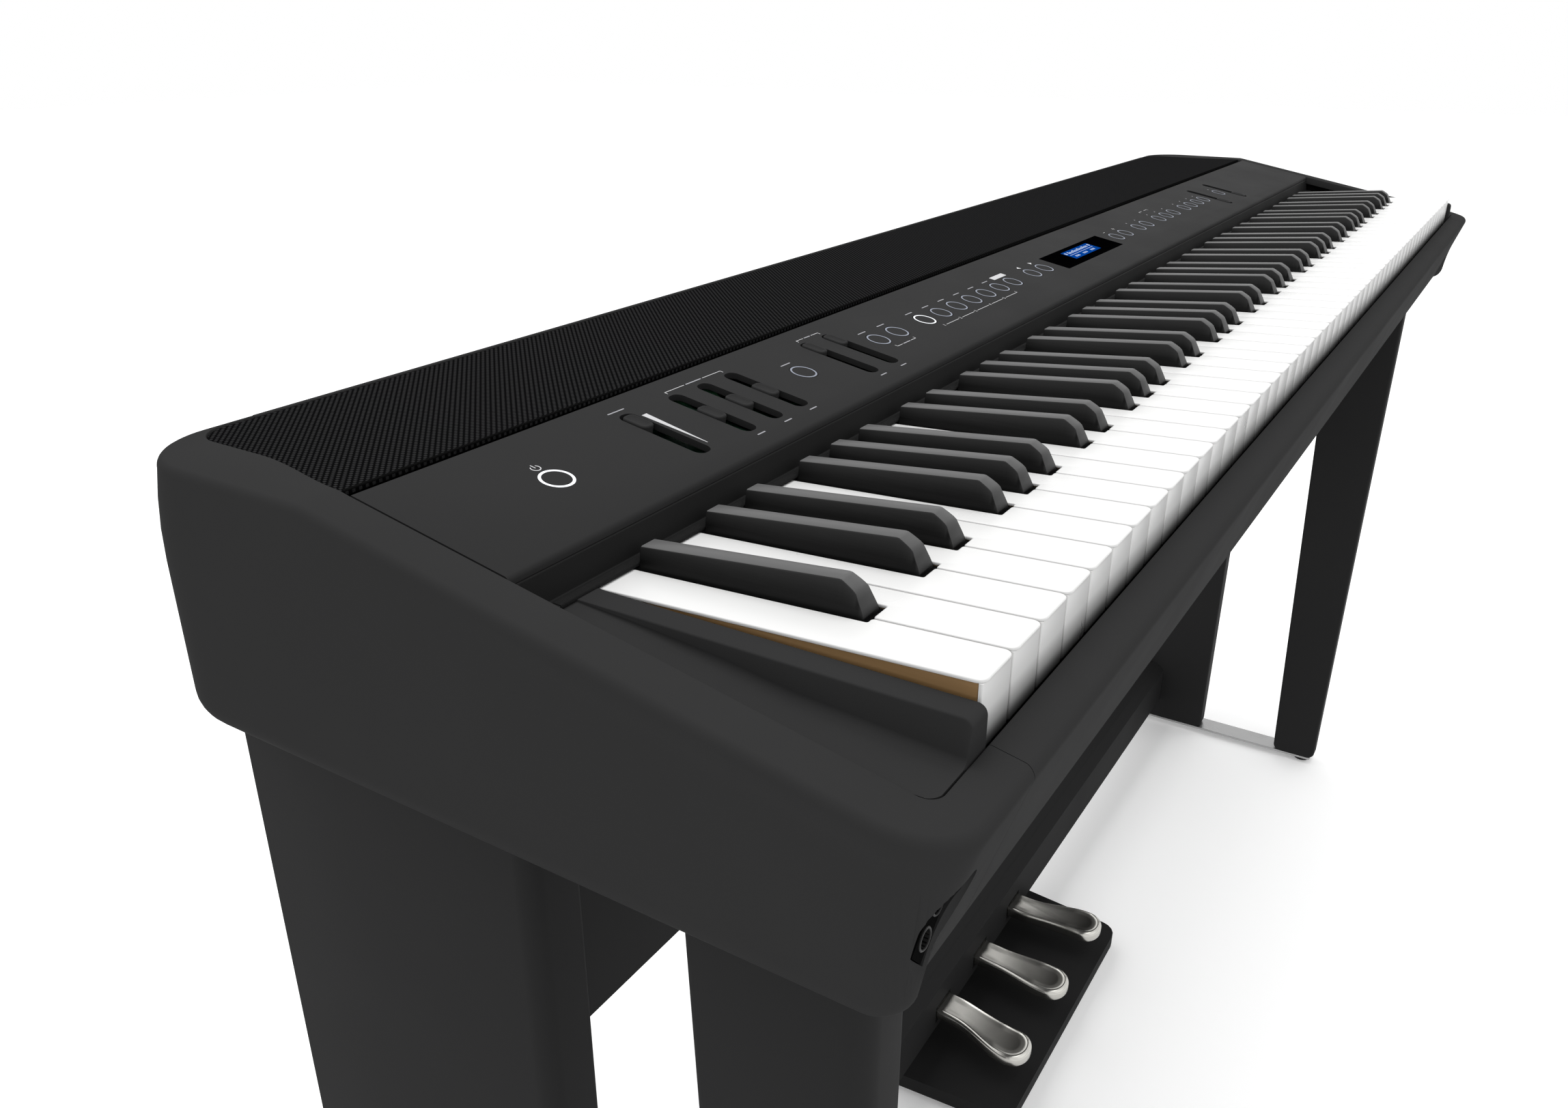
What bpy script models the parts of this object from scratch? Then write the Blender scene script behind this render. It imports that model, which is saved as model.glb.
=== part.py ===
"""Digital piano on a four-legged stand with a triple pedal unit.

Design coordinates are millimetres: x from the middle of the keyboard towards the treble,
y back from the front edge of the white keys, z up from the top of that edge. at() turns
them into the scene's metres, with the origin under the middle of the feet's floor plane.
"""
import math

import bmesh
import bpy
from mathutils import Matrix, Vector

# ---------------------------------------------------------------- driving dimensions (mm)
MM = 0.001
GAP = 0.3                      # clearance between touching pieces
KEY_HEIGHT = 722.0             # white key tops above the floor
OCTAVE = 164.5                 # seven white keys
WHITE_PITCH = OCTAVE / 7
WHITE_COUNT = 52
HALF_KEYS = WHITE_PITCH * WHITE_COUNT / 2

CASE_HALF = 670.0              # half of the overall width
CASE_FRONT = -17.5             # front edge of the key rail
CASE_BACK = 341.0
CASE_BOTTOM = -89.0
CASE_MID_Y = (CASE_FRONT + CASE_BACK) / 2
RIM_WIDTH = 23.2               # flat top of each end cap
RIM_SHOULDER = 7.0             # the rim's edge stands this far inside the widest side
RIM_FLAT_Z = 24.5              # level rear part of the rim
PANEL_SLOPE = 0.19             # rise of the control panel per unit of depth
PANEL_FRONT_Y = 153.5
PANEL_FRONT_Z = 9.4
PANEL_BACK_Y = 227.7
FRONT_CORNER = 26.0            # plan radius of the case's front corners
REAR_CORNER = 40.0
FRONT_LEAN = 20.0              # the front face leans back by this from top to bottom
BOTTOM_FILLET = 14.0
WALL = 5.0
GRILLE_FRONT_Y = 231.6
GRILLE_BACK_Y = 333.2
GRILLE_Z = 23.8
REAR_FACE_Y = 335.7

KEY_PIVOT_Y = 230.0
KEY_PIVOT_Z = -14.0
KEY_LENGTH = 228.0
KEY_GAP = 0.5                  # each white key is this much inside its pitch on both sides
KEY_TOP_SLOPE = 0.047
KEY_BOTTOM_Z = -18.0
NOTCH_Y = 49.9
NOTCH_HALF = 7.1
BLACK_BASE_HALF = 5.5
BLACK_TOP_HALF = 3.9
BLACK_BACK_Y = 145.0

LEG_OUTER = HALF_KEYS + 27.5
LEG_INNER = HALF_KEYS - 1.0
BAR_BOTTOM = -716.0
BAR_TOP = -713.0
FLOOR = -KEY_HEIGHT

PEDAL_SPACING = 84.0
PEDAL_PIVOT_Y = 245.0
PEDAL_PIVOT_Z = -670.0
BEAM_FRONT_Y = 225.3
BEAM_BACK_Y = 262.0
BEAM_TOP = -632.6
BEAM_BOTTOM = -687.4
BEAM_WALL = 4.0

RECESS_TILT = math.radians(-42)
JACK_LENGTH = 24.0
JACK_WIDTH = 9.0
JACK_FACE_Y = -3.9
JACK_BACK_Y = 3.2
JACK_SPACING = 10.6
JACK_RADIUS = 3.2
JACK_DEPTH = 5.2

SLOT_HALF_WIDTH = 4.7
SLOT_FRONT_Y = 167.5
SLOT_BACK_Y = 212.3
KNOB_HALF_WIDTH = 3.9
KNOB_HALF_LENGTH = 6.65
BUTTON_RADIUS = 7.0
BUTTON_HOLE = 7.35
BUTTON_Y = 190.5

# controls along the panel, measured from the left edge of the lowest key
VOLUME_X = [96.4]
EQUALISER_X = [131.0, 152.9, 174.8]
PART_X = [244.4, 266.3]
WHEEL_X = [972.1, 1029.0]
BUTTON_GROUPS = {
    "power_button": [30.0],
    "ambience_button": [210.4],
    "split_buttons": [289.0, 310.6],
    "tone_buttons": [345.6 + 21.9 * step for step in range(7)],
    "arrow_buttons": [512.1, 534.0],
    "value_buttons": [691.7, 714.0],
    "function_buttons": [748.5, 770.6, 805.8, 827.9, 850.2, 884.6, 906.9, 929.2, 951.0],
    "record_button": [1008.5],
}
DISPLAY_X = (552.5, 672.5)
DISPLAY_Y = (178.6, 202.3)

CHARCOAL = (0.031, 0.031, 0.032)
BLACK = (0.008, 0.008, 0.009)
IVORY = (0.86, 0.86, 0.85)
STEEL = (0.62, 0.61, 0.58)
RUBBER = (0.015, 0.015, 0.015)
BOARD_GREEN = (0.02, 0.10, 0.05)


# ---------------------------------------------------------------- helpers
def at(x, y, z):
    """Turn design millimetres into scene metres."""
    return Vector((x * MM, (y - CASE_MID_Y) * MM, (z + KEY_HEIGHT) * MM))


def clear_scene():
    for old in list(bpy.data.objects):
        bpy.data.objects.remove(old, do_unlink=True)


def material(name, color, roughness, metallic=0.0):
    slot = bpy.data.materials.new(name)
    slot.use_nodes = True
    shader = slot.node_tree.nodes["Principled BSDF"]
    shader.inputs["Base Color"].default_value = (*color, 1.0)
    shader.inputs["Roughness"].default_value = roughness
    shader.inputs["Metallic"].default_value = metallic
    return slot


def add_object(name, mesh, look, pivot):
    """Link a mesh whose points are in scene metres, with its origin moved to the pivot."""
    origin = Vector(pivot) if pivot else Vector((0, 0, 0))
    mesh.transform(Matrix.Translation(-origin))
    mesh.set_sharp_from_angle(angle=math.radians(35))
    thing = bpy.data.objects.new(name, mesh)
    thing.location = origin
    bpy.context.scene.collection.objects.link(thing)
    mesh.materials.append(material(name + "_look", *look))
    return thing


def loft(rings):
    """Mesh data of a skin over equal rings of points, with flat caps at both ends."""
    build = bmesh.new()
    rows = [[build.verts.new(point) for point in ring] for ring in rings]
    count = len(rows[0])
    for near, far in zip(rows, rows[1:]):
        for index in range(count):
            after = (index + 1) % count
            build.faces.new((near[index], near[after], far[after], far[index]))
    build.faces.new(list(reversed(rows[0])))
    build.faces.new(rows[-1])
    return build


def finish(name, builds, look, pivot=None):
    """Collect one or more bmeshes into one object with its faces pointing out."""
    mesh = bpy.data.meshes.new(name)
    whole = bmesh.new()
    for build in builds:
        part = bpy.data.meshes.new("part")
        bmesh.ops.recalc_face_normals(build, faces=build.faces)
        build.to_mesh(part)
        build.free()
        whole.from_mesh(part)
        bpy.data.meshes.remove(part)
    for face in whole.faces:
        face.smooth = True
    whole.to_mesh(mesh)
    whole.free()
    return add_object(name, mesh, look, pivot)


def prism_x(profile, x0, x1):
    """A (y, z) profile run along x."""
    return loft([[at(x, y, z) for y, z in profile] for x in (x0, x1)])


def prism_z(outline, z0, z1):
    """An (x, y) outline run up z."""
    return loft([[at(x, y, z) for x, y in outline] for z in (z0, z1)])


def block(x0, x1, y0, y1, z0, z1):
    return prism_z([(x0, y0), (x1, y0), (x1, y1), (x0, y1)], z0, z1)


def rounded(corners, steps=3):
    """Outline of (x, y, radius) corners, each rounded by an arc of that radius."""
    points = []
    count = len(corners)
    for index, (x, y, radius) in enumerate(corners):
        here = Vector((x, y))
        if radius == 0:
            points.append((x, y))
            continue
        before = (Vector(corners[index - 1][:2]) - here).normalized()
        after = (Vector(corners[(index + 1) % count][:2]) - here).normalized()
        half = before.angle(after) / 2
        centre = here + (before + after).normalized() * radius / math.sin(half)
        start = here + before * radius / math.tan(half) - centre
        end = here + after * radius / math.tan(half) - centre
        turn = start.angle_signed(end)
        for step in range(steps + 1):
            spot = centre + Matrix.Rotation(-turn * step / steps, 2) @ start
            points.append((spot.x, spot.y))
    return points


def circle(x, y, radius, sides):
    turns = [2 * math.pi * step / sides for step in range(sides)]
    return [(x + radius * math.cos(turn), y + radius * math.sin(turn)) for turn in turns]


def panel_z(y):
    return PANEL_FRONT_Z + PANEL_SLOPE * (y - PANEL_FRONT_Y)


def panel_prism(outline, low, high):
    """An outline on the control panel's plane, run from height low to high along its normal."""
    tilt = math.atan(PANEL_SLOPE)
    rings = []
    for height in (low, high):
        lean = -math.sin(tilt) * height
        rise = math.cos(tilt) * height
        rings.append([at(x, y + lean, panel_z(y) + rise) for x, y in outline])
    return loft(rings)


def rim_z(y):
    return min(panel_z(y), RIM_FLAT_Z)


def modify(target, tool, operation):
    """Keep a Boolean on target that unites it with, or cuts it by, a hidden tool object."""
    step = target.modifiers.new(operation.lower() + "_" + tool.name, "BOOLEAN")
    step.operation = operation
    step.solver = "EXACT"
    step.object = tool
    tool.hide_render = True
    tool.display_type = "WIRE"


def from_left(x):
    """Design x of a distance measured from the left edge of the lowest key."""
    return x - HALF_KEYS


# ---------------------------------------------------------------- case
def smooth_step(t):
    t = min(max(t, 0.0), 1.0)
    return t * t * (3 - 2 * t)


def rim_inner_x(y):
    """Inner edge of the end cap's rim: straight beside the keys, widening beside the grille."""
    return CASE_HALF - RIM_WIDTH - 9.6 * smooth_step((y - PANEL_BACK_Y) / 62)


def cap_stations():
    """Plan stations of the right end cap: (outer point, inward normal, rim point, front share)."""
    stations = []
    seam = HALF_KEYS + GAP / 2
    rim_front = CASE_FRONT + 15.2
    front_x = CASE_HALF - FRONT_CORNER
    stations.append(((seam, CASE_FRONT), (0, 1), (seam, rim_front), 1.0))
    stations.append(((front_x, CASE_FRONT), (0, 1), (CASE_HALF - RIM_WIDTH - 6, rim_front), 1.0))
    corner_steps = 5
    for step in range(1, corner_steps + 1):
        turn = math.pi / 2 * step / corner_steps
        outward = (math.sin(turn), -math.cos(turn))
        outer = (front_x + FRONT_CORNER * outward[0], CASE_FRONT + FRONT_CORNER * (1 + outward[1]))
        inner = (CASE_HALF - RIM_WIDTH - 6 + 6 * outward[0], rim_front + 6 * (1 + outward[1]))
        stations.append((outer, (-outward[0], -outward[1]), inner, math.cos(turn) ** 2))
    for y in (60, 150, PANEL_BACK_Y, 236, 248, 262, 278, 296):
        stations.append(((CASE_HALF, y), (-1, 0), (rim_inner_x(y), y), 0.0))
    rear_x = CASE_HALF - REAR_CORNER
    rear_y = CASE_BACK - REAR_CORNER
    inner_radius = 15.0
    inner_x = rim_inner_x(CASE_BACK)
    for step in range(corner_steps + 2):
        turn = math.pi / 2 * step / (corner_steps + 1)
        outward = (math.cos(turn), math.sin(turn))
        outer = (rear_x + REAR_CORNER * outward[0], rear_y + REAR_CORNER * outward[1])
        inner = (inner_x - inner_radius * (1 - outward[0]),
                 GRILLE_BACK_Y + GAP - inner_radius * (1 - outward[1]))
        stations.append((outer, (-outward[0], -outward[1]), inner, 0.0))
    end_x = HALF_KEYS - 3.0
    stations.append(((end_x, CASE_BACK), (0, -1), (end_x, GRILLE_BACK_Y + GAP), 0.0))
    return stations


def front_lean(z, rim):
    """How far the leaning front face is set back at height z, under a rim of this height."""
    start = rim - 4
    return FRONT_LEAN * max(start - z, 0) / (start - CASE_BOTTOM)


def cap_ring(outer, normal, inner, front):
    """Cross-section of the end cap at one station: bottom lip, wall, shoulder, rim, underside."""
    rim = rim_z(outer[1])
    thickness = math.dist(outer, inner)
    wall = min(WALL + 20 * front, thickness - 1.0)
    lip = BOTTOM_FILLET + 1
    shoulder = RIM_SHOULDER * (1 - front) + 3.0 * front
    profile = [(lip, CASE_BOTTOM)]
    for step in range(4):
        turn = math.pi / 2 * step / 3
        fillet = BOTTOM_FILLET * (1 - front) + 3.0 * front
        profile.append((fillet * (1 - math.sin(turn)), CASE_BOTTOM + fillet * (1 - math.cos(turn))))
    taper_z = min(-17.0, rim - 16)
    profile += [(0.0, taper_z), (shoulder - 4, rim - 4), (shoulder - 2.8, rim - 1.2)]
    profile = [(max(depth, 0.0), z) for depth, z in profile]
    profile.append((shoulder, rim))
    ring = []
    for depth, z in profile:
        lean = front * front_lean(z, rim)
        reach = depth + lean
        ring.append((outer[0] + normal[0] * reach, outer[1] + normal[1] * reach, z))
    under = rim - 7
    ring.append((inner[0], inner[1], rim))
    ring.append((inner[0], inner[1], under))
    for depth, z in ((wall, under - 2), (wall, CASE_BOTTOM + 6), (lip, CASE_BOTTOM + 4)):
        lean = front * front_lean(z, rim)
        reach = depth + lean
        ring.append((outer[0] + normal[0] * reach, outer[1] + normal[1] * reach, z))
    return ring


def end_cap(name, side, look):
    """One moulded end of the case, wrapping its front and rear corners."""
    rings = []
    for station in cap_stations():
        rings.append([at(side * x, y, z) for x, y, z in cap_ring(*station)])
    return finish(name, [loft(rings)], look)


def recess_place(y):
    """Tilted frame on the low front left corner, level in y, where the headphone sockets sit."""
    return Matrix.Translation(at(-HALF_KEYS - 37.5, y, -58.5)) @ Matrix.Rotation(RECESS_TILT, 4, "Y")


def recess_block(y0, y1, length, width):
    build = bmesh.new()
    size = Matrix.Diagonal((length * MM, (y1 - y0) * MM, width * MM, 1))
    bmesh.ops.create_cube(build, size=1.0, matrix=recess_place((y0 + y1) / 2) @ size)
    return build


def make_headphone_recess(cap):
    """Lens-shaped scoop in the left cap, with a plate of two sockets let into its floor."""
    scoop = bmesh.new()
    size = Matrix.Diagonal((21 * MM, 5.5 * MM, 8.5 * MM, 1))
    bmesh.ops.create_uvsphere(scoop, u_segments=20, v_segments=12, radius=1.0,
                              matrix=recess_place(-9.5) @ size)
    modify(cap, finish("scoop_cutter", [scoop], (CHARCOAL, 0.5)), "DIFFERENCE")
    pocket = recess_block(-9, JACK_BACK_Y + GAP, JACK_LENGTH + 2 * GAP, JACK_WIDTH + 2 * GAP)
    modify(cap, finish("jack_pocket_cutter", [pocket], (CHARCOAL, 0.5)), "DIFFERENCE")

    plate = recess_block(JACK_FACE_Y, JACK_BACK_Y, JACK_LENGTH, JACK_WIDTH)
    jacks = finish("headphone_jacks", [plate], (BLACK, 0.5))
    holes = []
    for along in (-JACK_SPACING / 2, JACK_SPACING / 2):
        hole = Matrix.Translation((along * MM, 0, 0)) @ Matrix.Rotation(math.pi / 2, 4, "X")
        build = bmesh.new()
        bmesh.ops.create_cone(build, cap_ends=True, segments=16, radius1=JACK_RADIUS * MM,
                              radius2=JACK_RADIUS * MM, depth=2 * JACK_DEPTH * MM,
                              matrix=recess_place(JACK_FACE_Y) @ hole)
        holes.append(build)
    modify(jacks, finish("jack_hole_cutter", holes, (BLACK, 0.5)), "DIFFERENCE")


def make_case(soft):
    left_cap = end_cap("end_cap_left", -1, soft)
    end_cap("end_cap_right", 1, soft)
    make_headphone_recess(left_cap)

    back = CASE_FRONT + 15.2
    top = rim_z(CASE_FRONT)
    ledge = CASE_FRONT + 36
    low = CASE_BOTTOM + 3
    rail = [(CASE_FRONT + 3, top), (back, rim_z(back)), (back, -34), (CASE_FRONT + 9, -34),
            (CASE_FRONT + 24, CASE_BOTTOM + 4), (ledge, CASE_BOTTOM + 4), (ledge, CASE_BOTTOM),
            (CASE_FRONT + FRONT_LEAN + 3, CASE_BOTTOM), (CASE_FRONT + front_lean(low, top), low),
            (CASE_FRONT, top - 4), (CASE_FRONT + 0.2, top - 1.2)]
    finish("front_rail", [prism_x(rail, -HALF_KEYS + GAP / 2, HALF_KEYS - GAP / 2)], soft)

    tray_half = CASE_HALF - BOTTOM_FILLET - 1 - GAP
    tray_front = CASE_FRONT + 36 + GAP
    tray = rounded([(-tray_half, tray_front, 4), (tray_half, tray_front, 4),
                    (tray_half, CASE_BACK - 15.5, 24), (-tray_half, CASE_BACK - 15.5, 24)])
    finish("bottom_chassis", [prism_z(tray, CASE_BOTTOM, CASE_BOTTOM + 3)], (BLACK, 0.6))


def slot_outline(x):
    corners = [(x - SLOT_HALF_WIDTH, SLOT_FRONT_Y, 3.5), (x + SLOT_HALF_WIDTH, SLOT_FRONT_Y, 3.5),
               (x + SLOT_HALF_WIDTH, SLOT_BACK_Y, 3.5), (x - SLOT_HALF_WIDTH, SLOT_BACK_Y, 3.5)]
    return rounded(corners, 2)


def make_control_panel(soft):
    reach = CASE_HALF - RIM_WIDTH - GAP
    outline = [(-reach, PANEL_FRONT_Y), (reach, PANEL_FRONT_Y), (reach, PANEL_BACK_Y),
               (-reach, PANEL_BACK_Y)]
    panel = finish("control_panel", [panel_prism(outline, -3.0, 0.0)], soft)
    holes = []
    for x in VOLUME_X + EQUALISER_X + PART_X + WHEEL_X:
        holes.append(panel_prism(slot_outline(from_left(x)), -6, 4))
    for group in BUTTON_GROUPS.values():
        for x in group:
            holes.append(panel_prism(circle(from_left(x), BUTTON_Y, BUTTON_HOLE, 12), -6, 4))
    holes.append(panel_prism(window_outline(0.0), -6, 4))
    modify(panel, finish("panel_cutter", holes, soft), "DIFFERENCE")

    finish("display_window", [panel_prism(window_outline(GAP), -3.0, 0.0)], (BLACK, 0.12))

    half_board = HALF_KEYS - 30
    board = [(-half_board, 166), (half_board, 166), (half_board, 220), (-half_board, 220)]
    finish("circuit_board", [panel_prism(board, -11.0, -9.4)], (BOARD_GREEN, 0.5))


def window_outline(inset):
    x0 = from_left(DISPLAY_X[0]) + inset
    x1 = from_left(DISPLAY_X[1]) - inset
    y0 = DISPLAY_Y[0] + inset
    y1 = DISPLAY_Y[1] - inset
    return [(x0, y0), (x1, y0), (x1, y1), (x0, y1)]


def make_rear(soft):
    edge = []
    for step in range(8):
        y = GRILLE_FRONT_Y + (296 - GRILLE_FRONT_Y) * step / 7
        edge.append((rim_inner_x(y) - GAP, y))
    radius = 15.0
    inner_x = rim_inner_x(CASE_BACK) - GAP
    for step in range(1, 6):
        turn = math.pi / 2 * step / 5
        x = inner_x - radius * (1 - math.cos(turn))
        edge.append((x, GRILLE_BACK_Y - radius * (1 - math.sin(turn))))
    edge[-1] = (edge[-1][0], GRILLE_BACK_Y)
    outline = edge + [(-x, y) for x, y in reversed(edge)]
    finish("speaker_grille", [prism_z(outline, GRILLE_Z - 2.2, GRILLE_Z)], (BLACK, 0.7))

    half = HALF_KEYS - 3.0 - GAP
    step_y = GRILLE_BACK_Y + GAP
    ledge_y = CASE_BACK - BOTTOM_FILLET - 1
    rear = [(step_y, RIM_FLAT_Z), (step_y, CASE_BOTTOM + 3), (ledge_y, CASE_BOTTOM + 3),
            (ledge_y, CASE_BOTTOM), (REAR_FACE_Y - 1.5, CASE_BOTTOM),
            (REAR_FACE_Y, CASE_BOTTOM + 1.5), (REAR_FACE_Y, RIM_FLAT_Z)]
    panel = finish("rear_panel", [prism_x(rear, -half, half)], soft)
    window = block(-62, 62, step_y - 5, REAR_FACE_Y + 5, -70, -42)
    modify(panel, finish("rear_window_cutter", [window], soft), "DIFFERENCE")
    make_connector_plate()

    for name, x in (("speaker_left", -420), ("speaker_right", 420)):
        speaker(name, x, 284)


def make_connector_plate():
    """Inset plate in the rear panel with the power inlet and the pedal and data sockets."""
    face_y = REAR_FACE_Y - 0.7
    plate = finish("connector_plate",
                   [block(-62 + GAP, 62 - GAP, face_y - 16, face_y, -70 + GAP, -42 - GAP)],
                   (BLACK, 0.5))
    sockets = []
    for x in (-46, -22, 2, 26):
        ring = circle(x, -56, 3.3, 10)
        sockets.append(loft([[at(px, y, pz) for px, pz in ring] for y in (face_y - 12, face_y + 2)]))
    sockets.append(block(42, 53.2, face_y - 10, face_y + 2, -61, -50))
    modify(plate, finish("socket_cutter", sockets, (BLACK, 0.5)), "DIFFERENCE")


def speaker(name, x, y):
    """Round driver hung under the grille: flange, basket, magnet and a dished cone."""
    top = GRILLE_Z - 2.2 - GAP
    profile = [(0, -16), (12, -16), (31, -3.5), (38, 0), (44, 0), (44, -3), (38, -3.6), (26, -24),
               (26, -40), (0, -40)]
    sides = 24
    build = bmesh.new()
    rows = []
    for radius, height in profile:
        if radius == 0:
            rows.append([build.verts.new(at(x, y, top + height))])
            continue
        rows.append([build.verts.new(at(px, py, top + height)) for px, py in circle(x, y, radius, sides)])
    for near, far in zip(rows, rows[1:]):
        for index in range(sides):
            after = (index + 1) % sides
            corners = [near[index % len(near)], near[after % len(near)]]
            corners += [far[after % len(far)], far[index % len(far)]]
            build.faces.new(list(dict.fromkeys(corners)))
    finish(name, [build], (BLACK, 0.6))


def make_key_surround(soft):
    under = -3.4
    board = [(PANEL_FRONT_Y - 0.4, PANEL_FRONT_Z + under), (151.2, -5.2), (146.0, -5.2),
             (146.0, -6.0), (154.0, -6.0), (156.5, 4.0), (160.0, panel_z(160.0) - 6.0),
             (160.0, panel_z(160.0) + under)]
    reach = CASE_HALF - RIM_WIDTH - GAP
    finish("fallboard", [prism_x(board, -reach, reach)], soft)

    frame = [(19, -84.6), (244, -84.6), (244, -80), (236, -80), (236, -9), (229.6, -9),
             (229.6, -80), (38, -80), (38, -31), (31, -31), (31, -80), (19, -80)]
    half = HALF_KEYS + 2
    finish("key_frame", [prism_x(frame, -half, half)], (BLACK, 0.6))

    for name, side in (("cheek_left", -1), ("cheek_right", 1)):
        cheek(name, side, soft)


def cheek(name, side, look):
    """Block beside the end key, with the sunken channel between it and the rim."""
    inner = HALF_KEYS + 1.0
    outer = CASE_HALF - RIM_WIDTH - GAP
    rings = []
    stations = ((-1.9, -24.0, -20.2), (0.4, -9.5, -20.0), (3.0, -6.3, -19.6), (30, -6.0, -18.2),
                (58, -6.0, -16.5), (84, -6.0, -13.2), (120, -6.0, -9.0), (150.5, -6.4, -6.6))
    corner_y = CASE_FRONT + 15.2 + 6
    for y, top, floor in stations:
        top = max(top, floor + 0.2)
        depth = max(corner_y - y, 0)
        rim_side = outer - 5.7 + math.sqrt(5.7 ** 2 - min(depth, 5.69) ** 2)
        height = top - floor
        flare = 7.3 * min(height / 13.7, 1.0)
        base = inner + 11.5 + flare
        section = [(inner, -26), (inner, top), (inner + 10.0, top), (inner + 11.5, top - min(1.5, height * 0.4)),
                   (inner + 12.5 + flare * 0.3, floor + height * 0.3), (base, floor), (rim_side, floor),
                   (rim_side, floor - 4), (inner + 8, floor - 4), (inner + 5, -26)]
        rings.append([at(side * x, y, z) for x, z in section])
    finish(name, [loft(rings)], look)


# ---------------------------------------------------------------- keys
BLACK_CENTRES = (20.9, 48.7, 90.0, 116.7, 143.5)
WHITE_SHARPS = ((None, 0), (0, 1), (1, None), (None, 2), (2, 3), (3, 4), (4, None))


def octave_start(octave):
    """Left edge of the C that starts an octave; octave 1 follows the three lowest keys."""
    return 2 * WHITE_PITCH + OCTAVE * (octave - 1)


def key_top(y):
    return -KEY_TOP_SLOPE * y


def white_key(left, notch_left, notch_right):
    """White key from its left edge; the notches are the tail's own edges, or None."""
    x0 = left + KEY_GAP
    x1 = left + WHITE_PITCH - KEY_GAP
    tail0 = x0 if notch_left is None else notch_left
    tail1 = x1 if notch_right is None else notch_right
    corners = [(x0, 0.3, 2.5), (x1, 0.3, 2.5)]
    if notch_right is not None:
        corners += [(x1, NOTCH_Y, 0), (tail1, NOTCH_Y, 0)]
    corners += [(tail1, KEY_LENGTH, 0), (tail0, KEY_LENGTH, 0)]
    if notch_left is not None:
        corners += [(tail0, NOTCH_Y, 0), (x0, NOTCH_Y, 0)]
    outline = rounded(corners, 2)
    bottom = [at(from_left(x), y, KEY_BOTTOM_Z) for x, y in outline]
    top = [at(from_left(x), y, key_top(y)) for x, y in outline]
    return loft([bottom, top])


def black_key(centre):
    """Black key: sloped toe, tapered sides, and a low tail that ends in a short drop."""
    base = BLACK_BASE_HALF
    rings = []
    stations = ((52.2, KEY_BOTTOM_Z, -2.6, 5.2), (53.6, KEY_BOTTOM_Z, 2.6, 4.6),
                (56.8, KEY_BOTTOM_Z, 7.0, 4.2), (61.0, KEY_BOTTOM_Z, 9.1, BLACK_TOP_HALF),
                (BLACK_BACK_Y, KEY_BOTTOM_Z, 1.5, BLACK_TOP_HALF),
                (BLACK_BACK_Y + 0.4, KEY_BOTTOM_Z, -8.3, 5.0), (207.0, KEY_BOTTOM_Z, -8.3, 5.0),
                (207.6, -24.0, -8.3, 5.0), (214.0, -24.0, -8.3, 5.0))
    for y, low, high, half_top in stations:
        shoulder = min(key_top(y), high - 0.4)
        section = [(-base, low), (base, low), (base, shoulder), (half_top, high),
                   (-half_top, high), (-base, shoulder)]
        rings.append([at(from_left(centre + x), y, z) for x, z in section])
    return loft(rings)


def octave_white(octave, step):
    start = octave_start(octave)
    sharp_left, sharp_right = WHITE_SHARPS[step]
    left = None if sharp_left is None else start + BLACK_CENTRES[sharp_left] + NOTCH_HALF
    right = None if sharp_right is None else start + BLACK_CENTRES[sharp_right] - NOTCH_HALF
    return white_key(start + step * WHITE_PITCH, left, right)


def key_group(name, keys, bar_span, bar_y, bar_z, look):
    """Keys that share one balance bar behind the panel, as one piece on the key pivot."""
    pivot = at(0, KEY_PIVOT_Y, KEY_PIVOT_Z)
    if bar_span is None:
        return finish(name, keys, look, pivot)
    bar = block(from_left(bar_span[0]), from_left(bar_span[1]), *bar_y, *bar_z)
    group = finish(name, [bar], look, pivot)
    modify(group, finish(name + "_blanks", keys, look), "UNION")
    return group


def make_keys():
    ivory = (IVORY, 0.25)
    ebony = (BLACK, 0.4)
    lowest_sharp = 26.9
    key_group("key_a0", [white_key(0, None, lowest_sharp - NOTCH_HALF)], None, None, None, ivory)
    key_group("key_b0", [white_key(WHITE_PITCH, lowest_sharp + NOTCH_HALF, None)],
              None, None, None, ivory)
    key_group("key_asharp0", [black_key(lowest_sharp)], None, None, None, ebony)
    ranges = {"c1_to_b2": (1, 2), "c3_to_b4": (3, 4), "c5_to_b6": (5, 6), "c7_to_c8": (7,)}
    for span, octaves in ranges.items():
        whites = [octave_white(octave, step) for octave in octaves for step in range(7)]
        blacks = [black_key(octave_start(octave) + centre)
                  for octave in octaves for centre in BLACK_CENTRES]
        first = octave_start(octaves[0])
        last = octave_start(octaves[-1]) + OCTAVE
        if span == "c7_to_c8":
            whites.append(white_key(last, None, None))
        white_span = (first + 3, last + (20 if span == "c7_to_c8" else -3))
        key_group("white_keys_" + span, whites, white_span, (219, 226), (-17, -13), ivory)
        black_span = (first + BLACK_CENTRES[0] - 3, last - OCTAVE + BLACK_CENTRES[-1] + 3)
        key_group("black_keys_" + span, blacks, black_span, (210, 227), (-23, -20.4), ebony)


# ---------------------------------------------------------------- controls
def make_controls(soft):
    sliders = {"volume_slider": (VOLUME_X, 203.8), "equaliser_slider": (EQUALISER_X, 189.9),
               "part_slider": (PART_X, 204.6), "wheel_slider": (WHEEL_X, 176.1)}
    for name, (places, y) in sliders.items():
        for number, x in enumerate(places, 1):
            label = name if len(places) == 1 else f"{name}_{number}"
            slider(label, from_left(x), y, soft)
    for name, places in BUTTON_GROUPS.items():
        button_group(name, [from_left(x) for x in places], soft)


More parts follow.
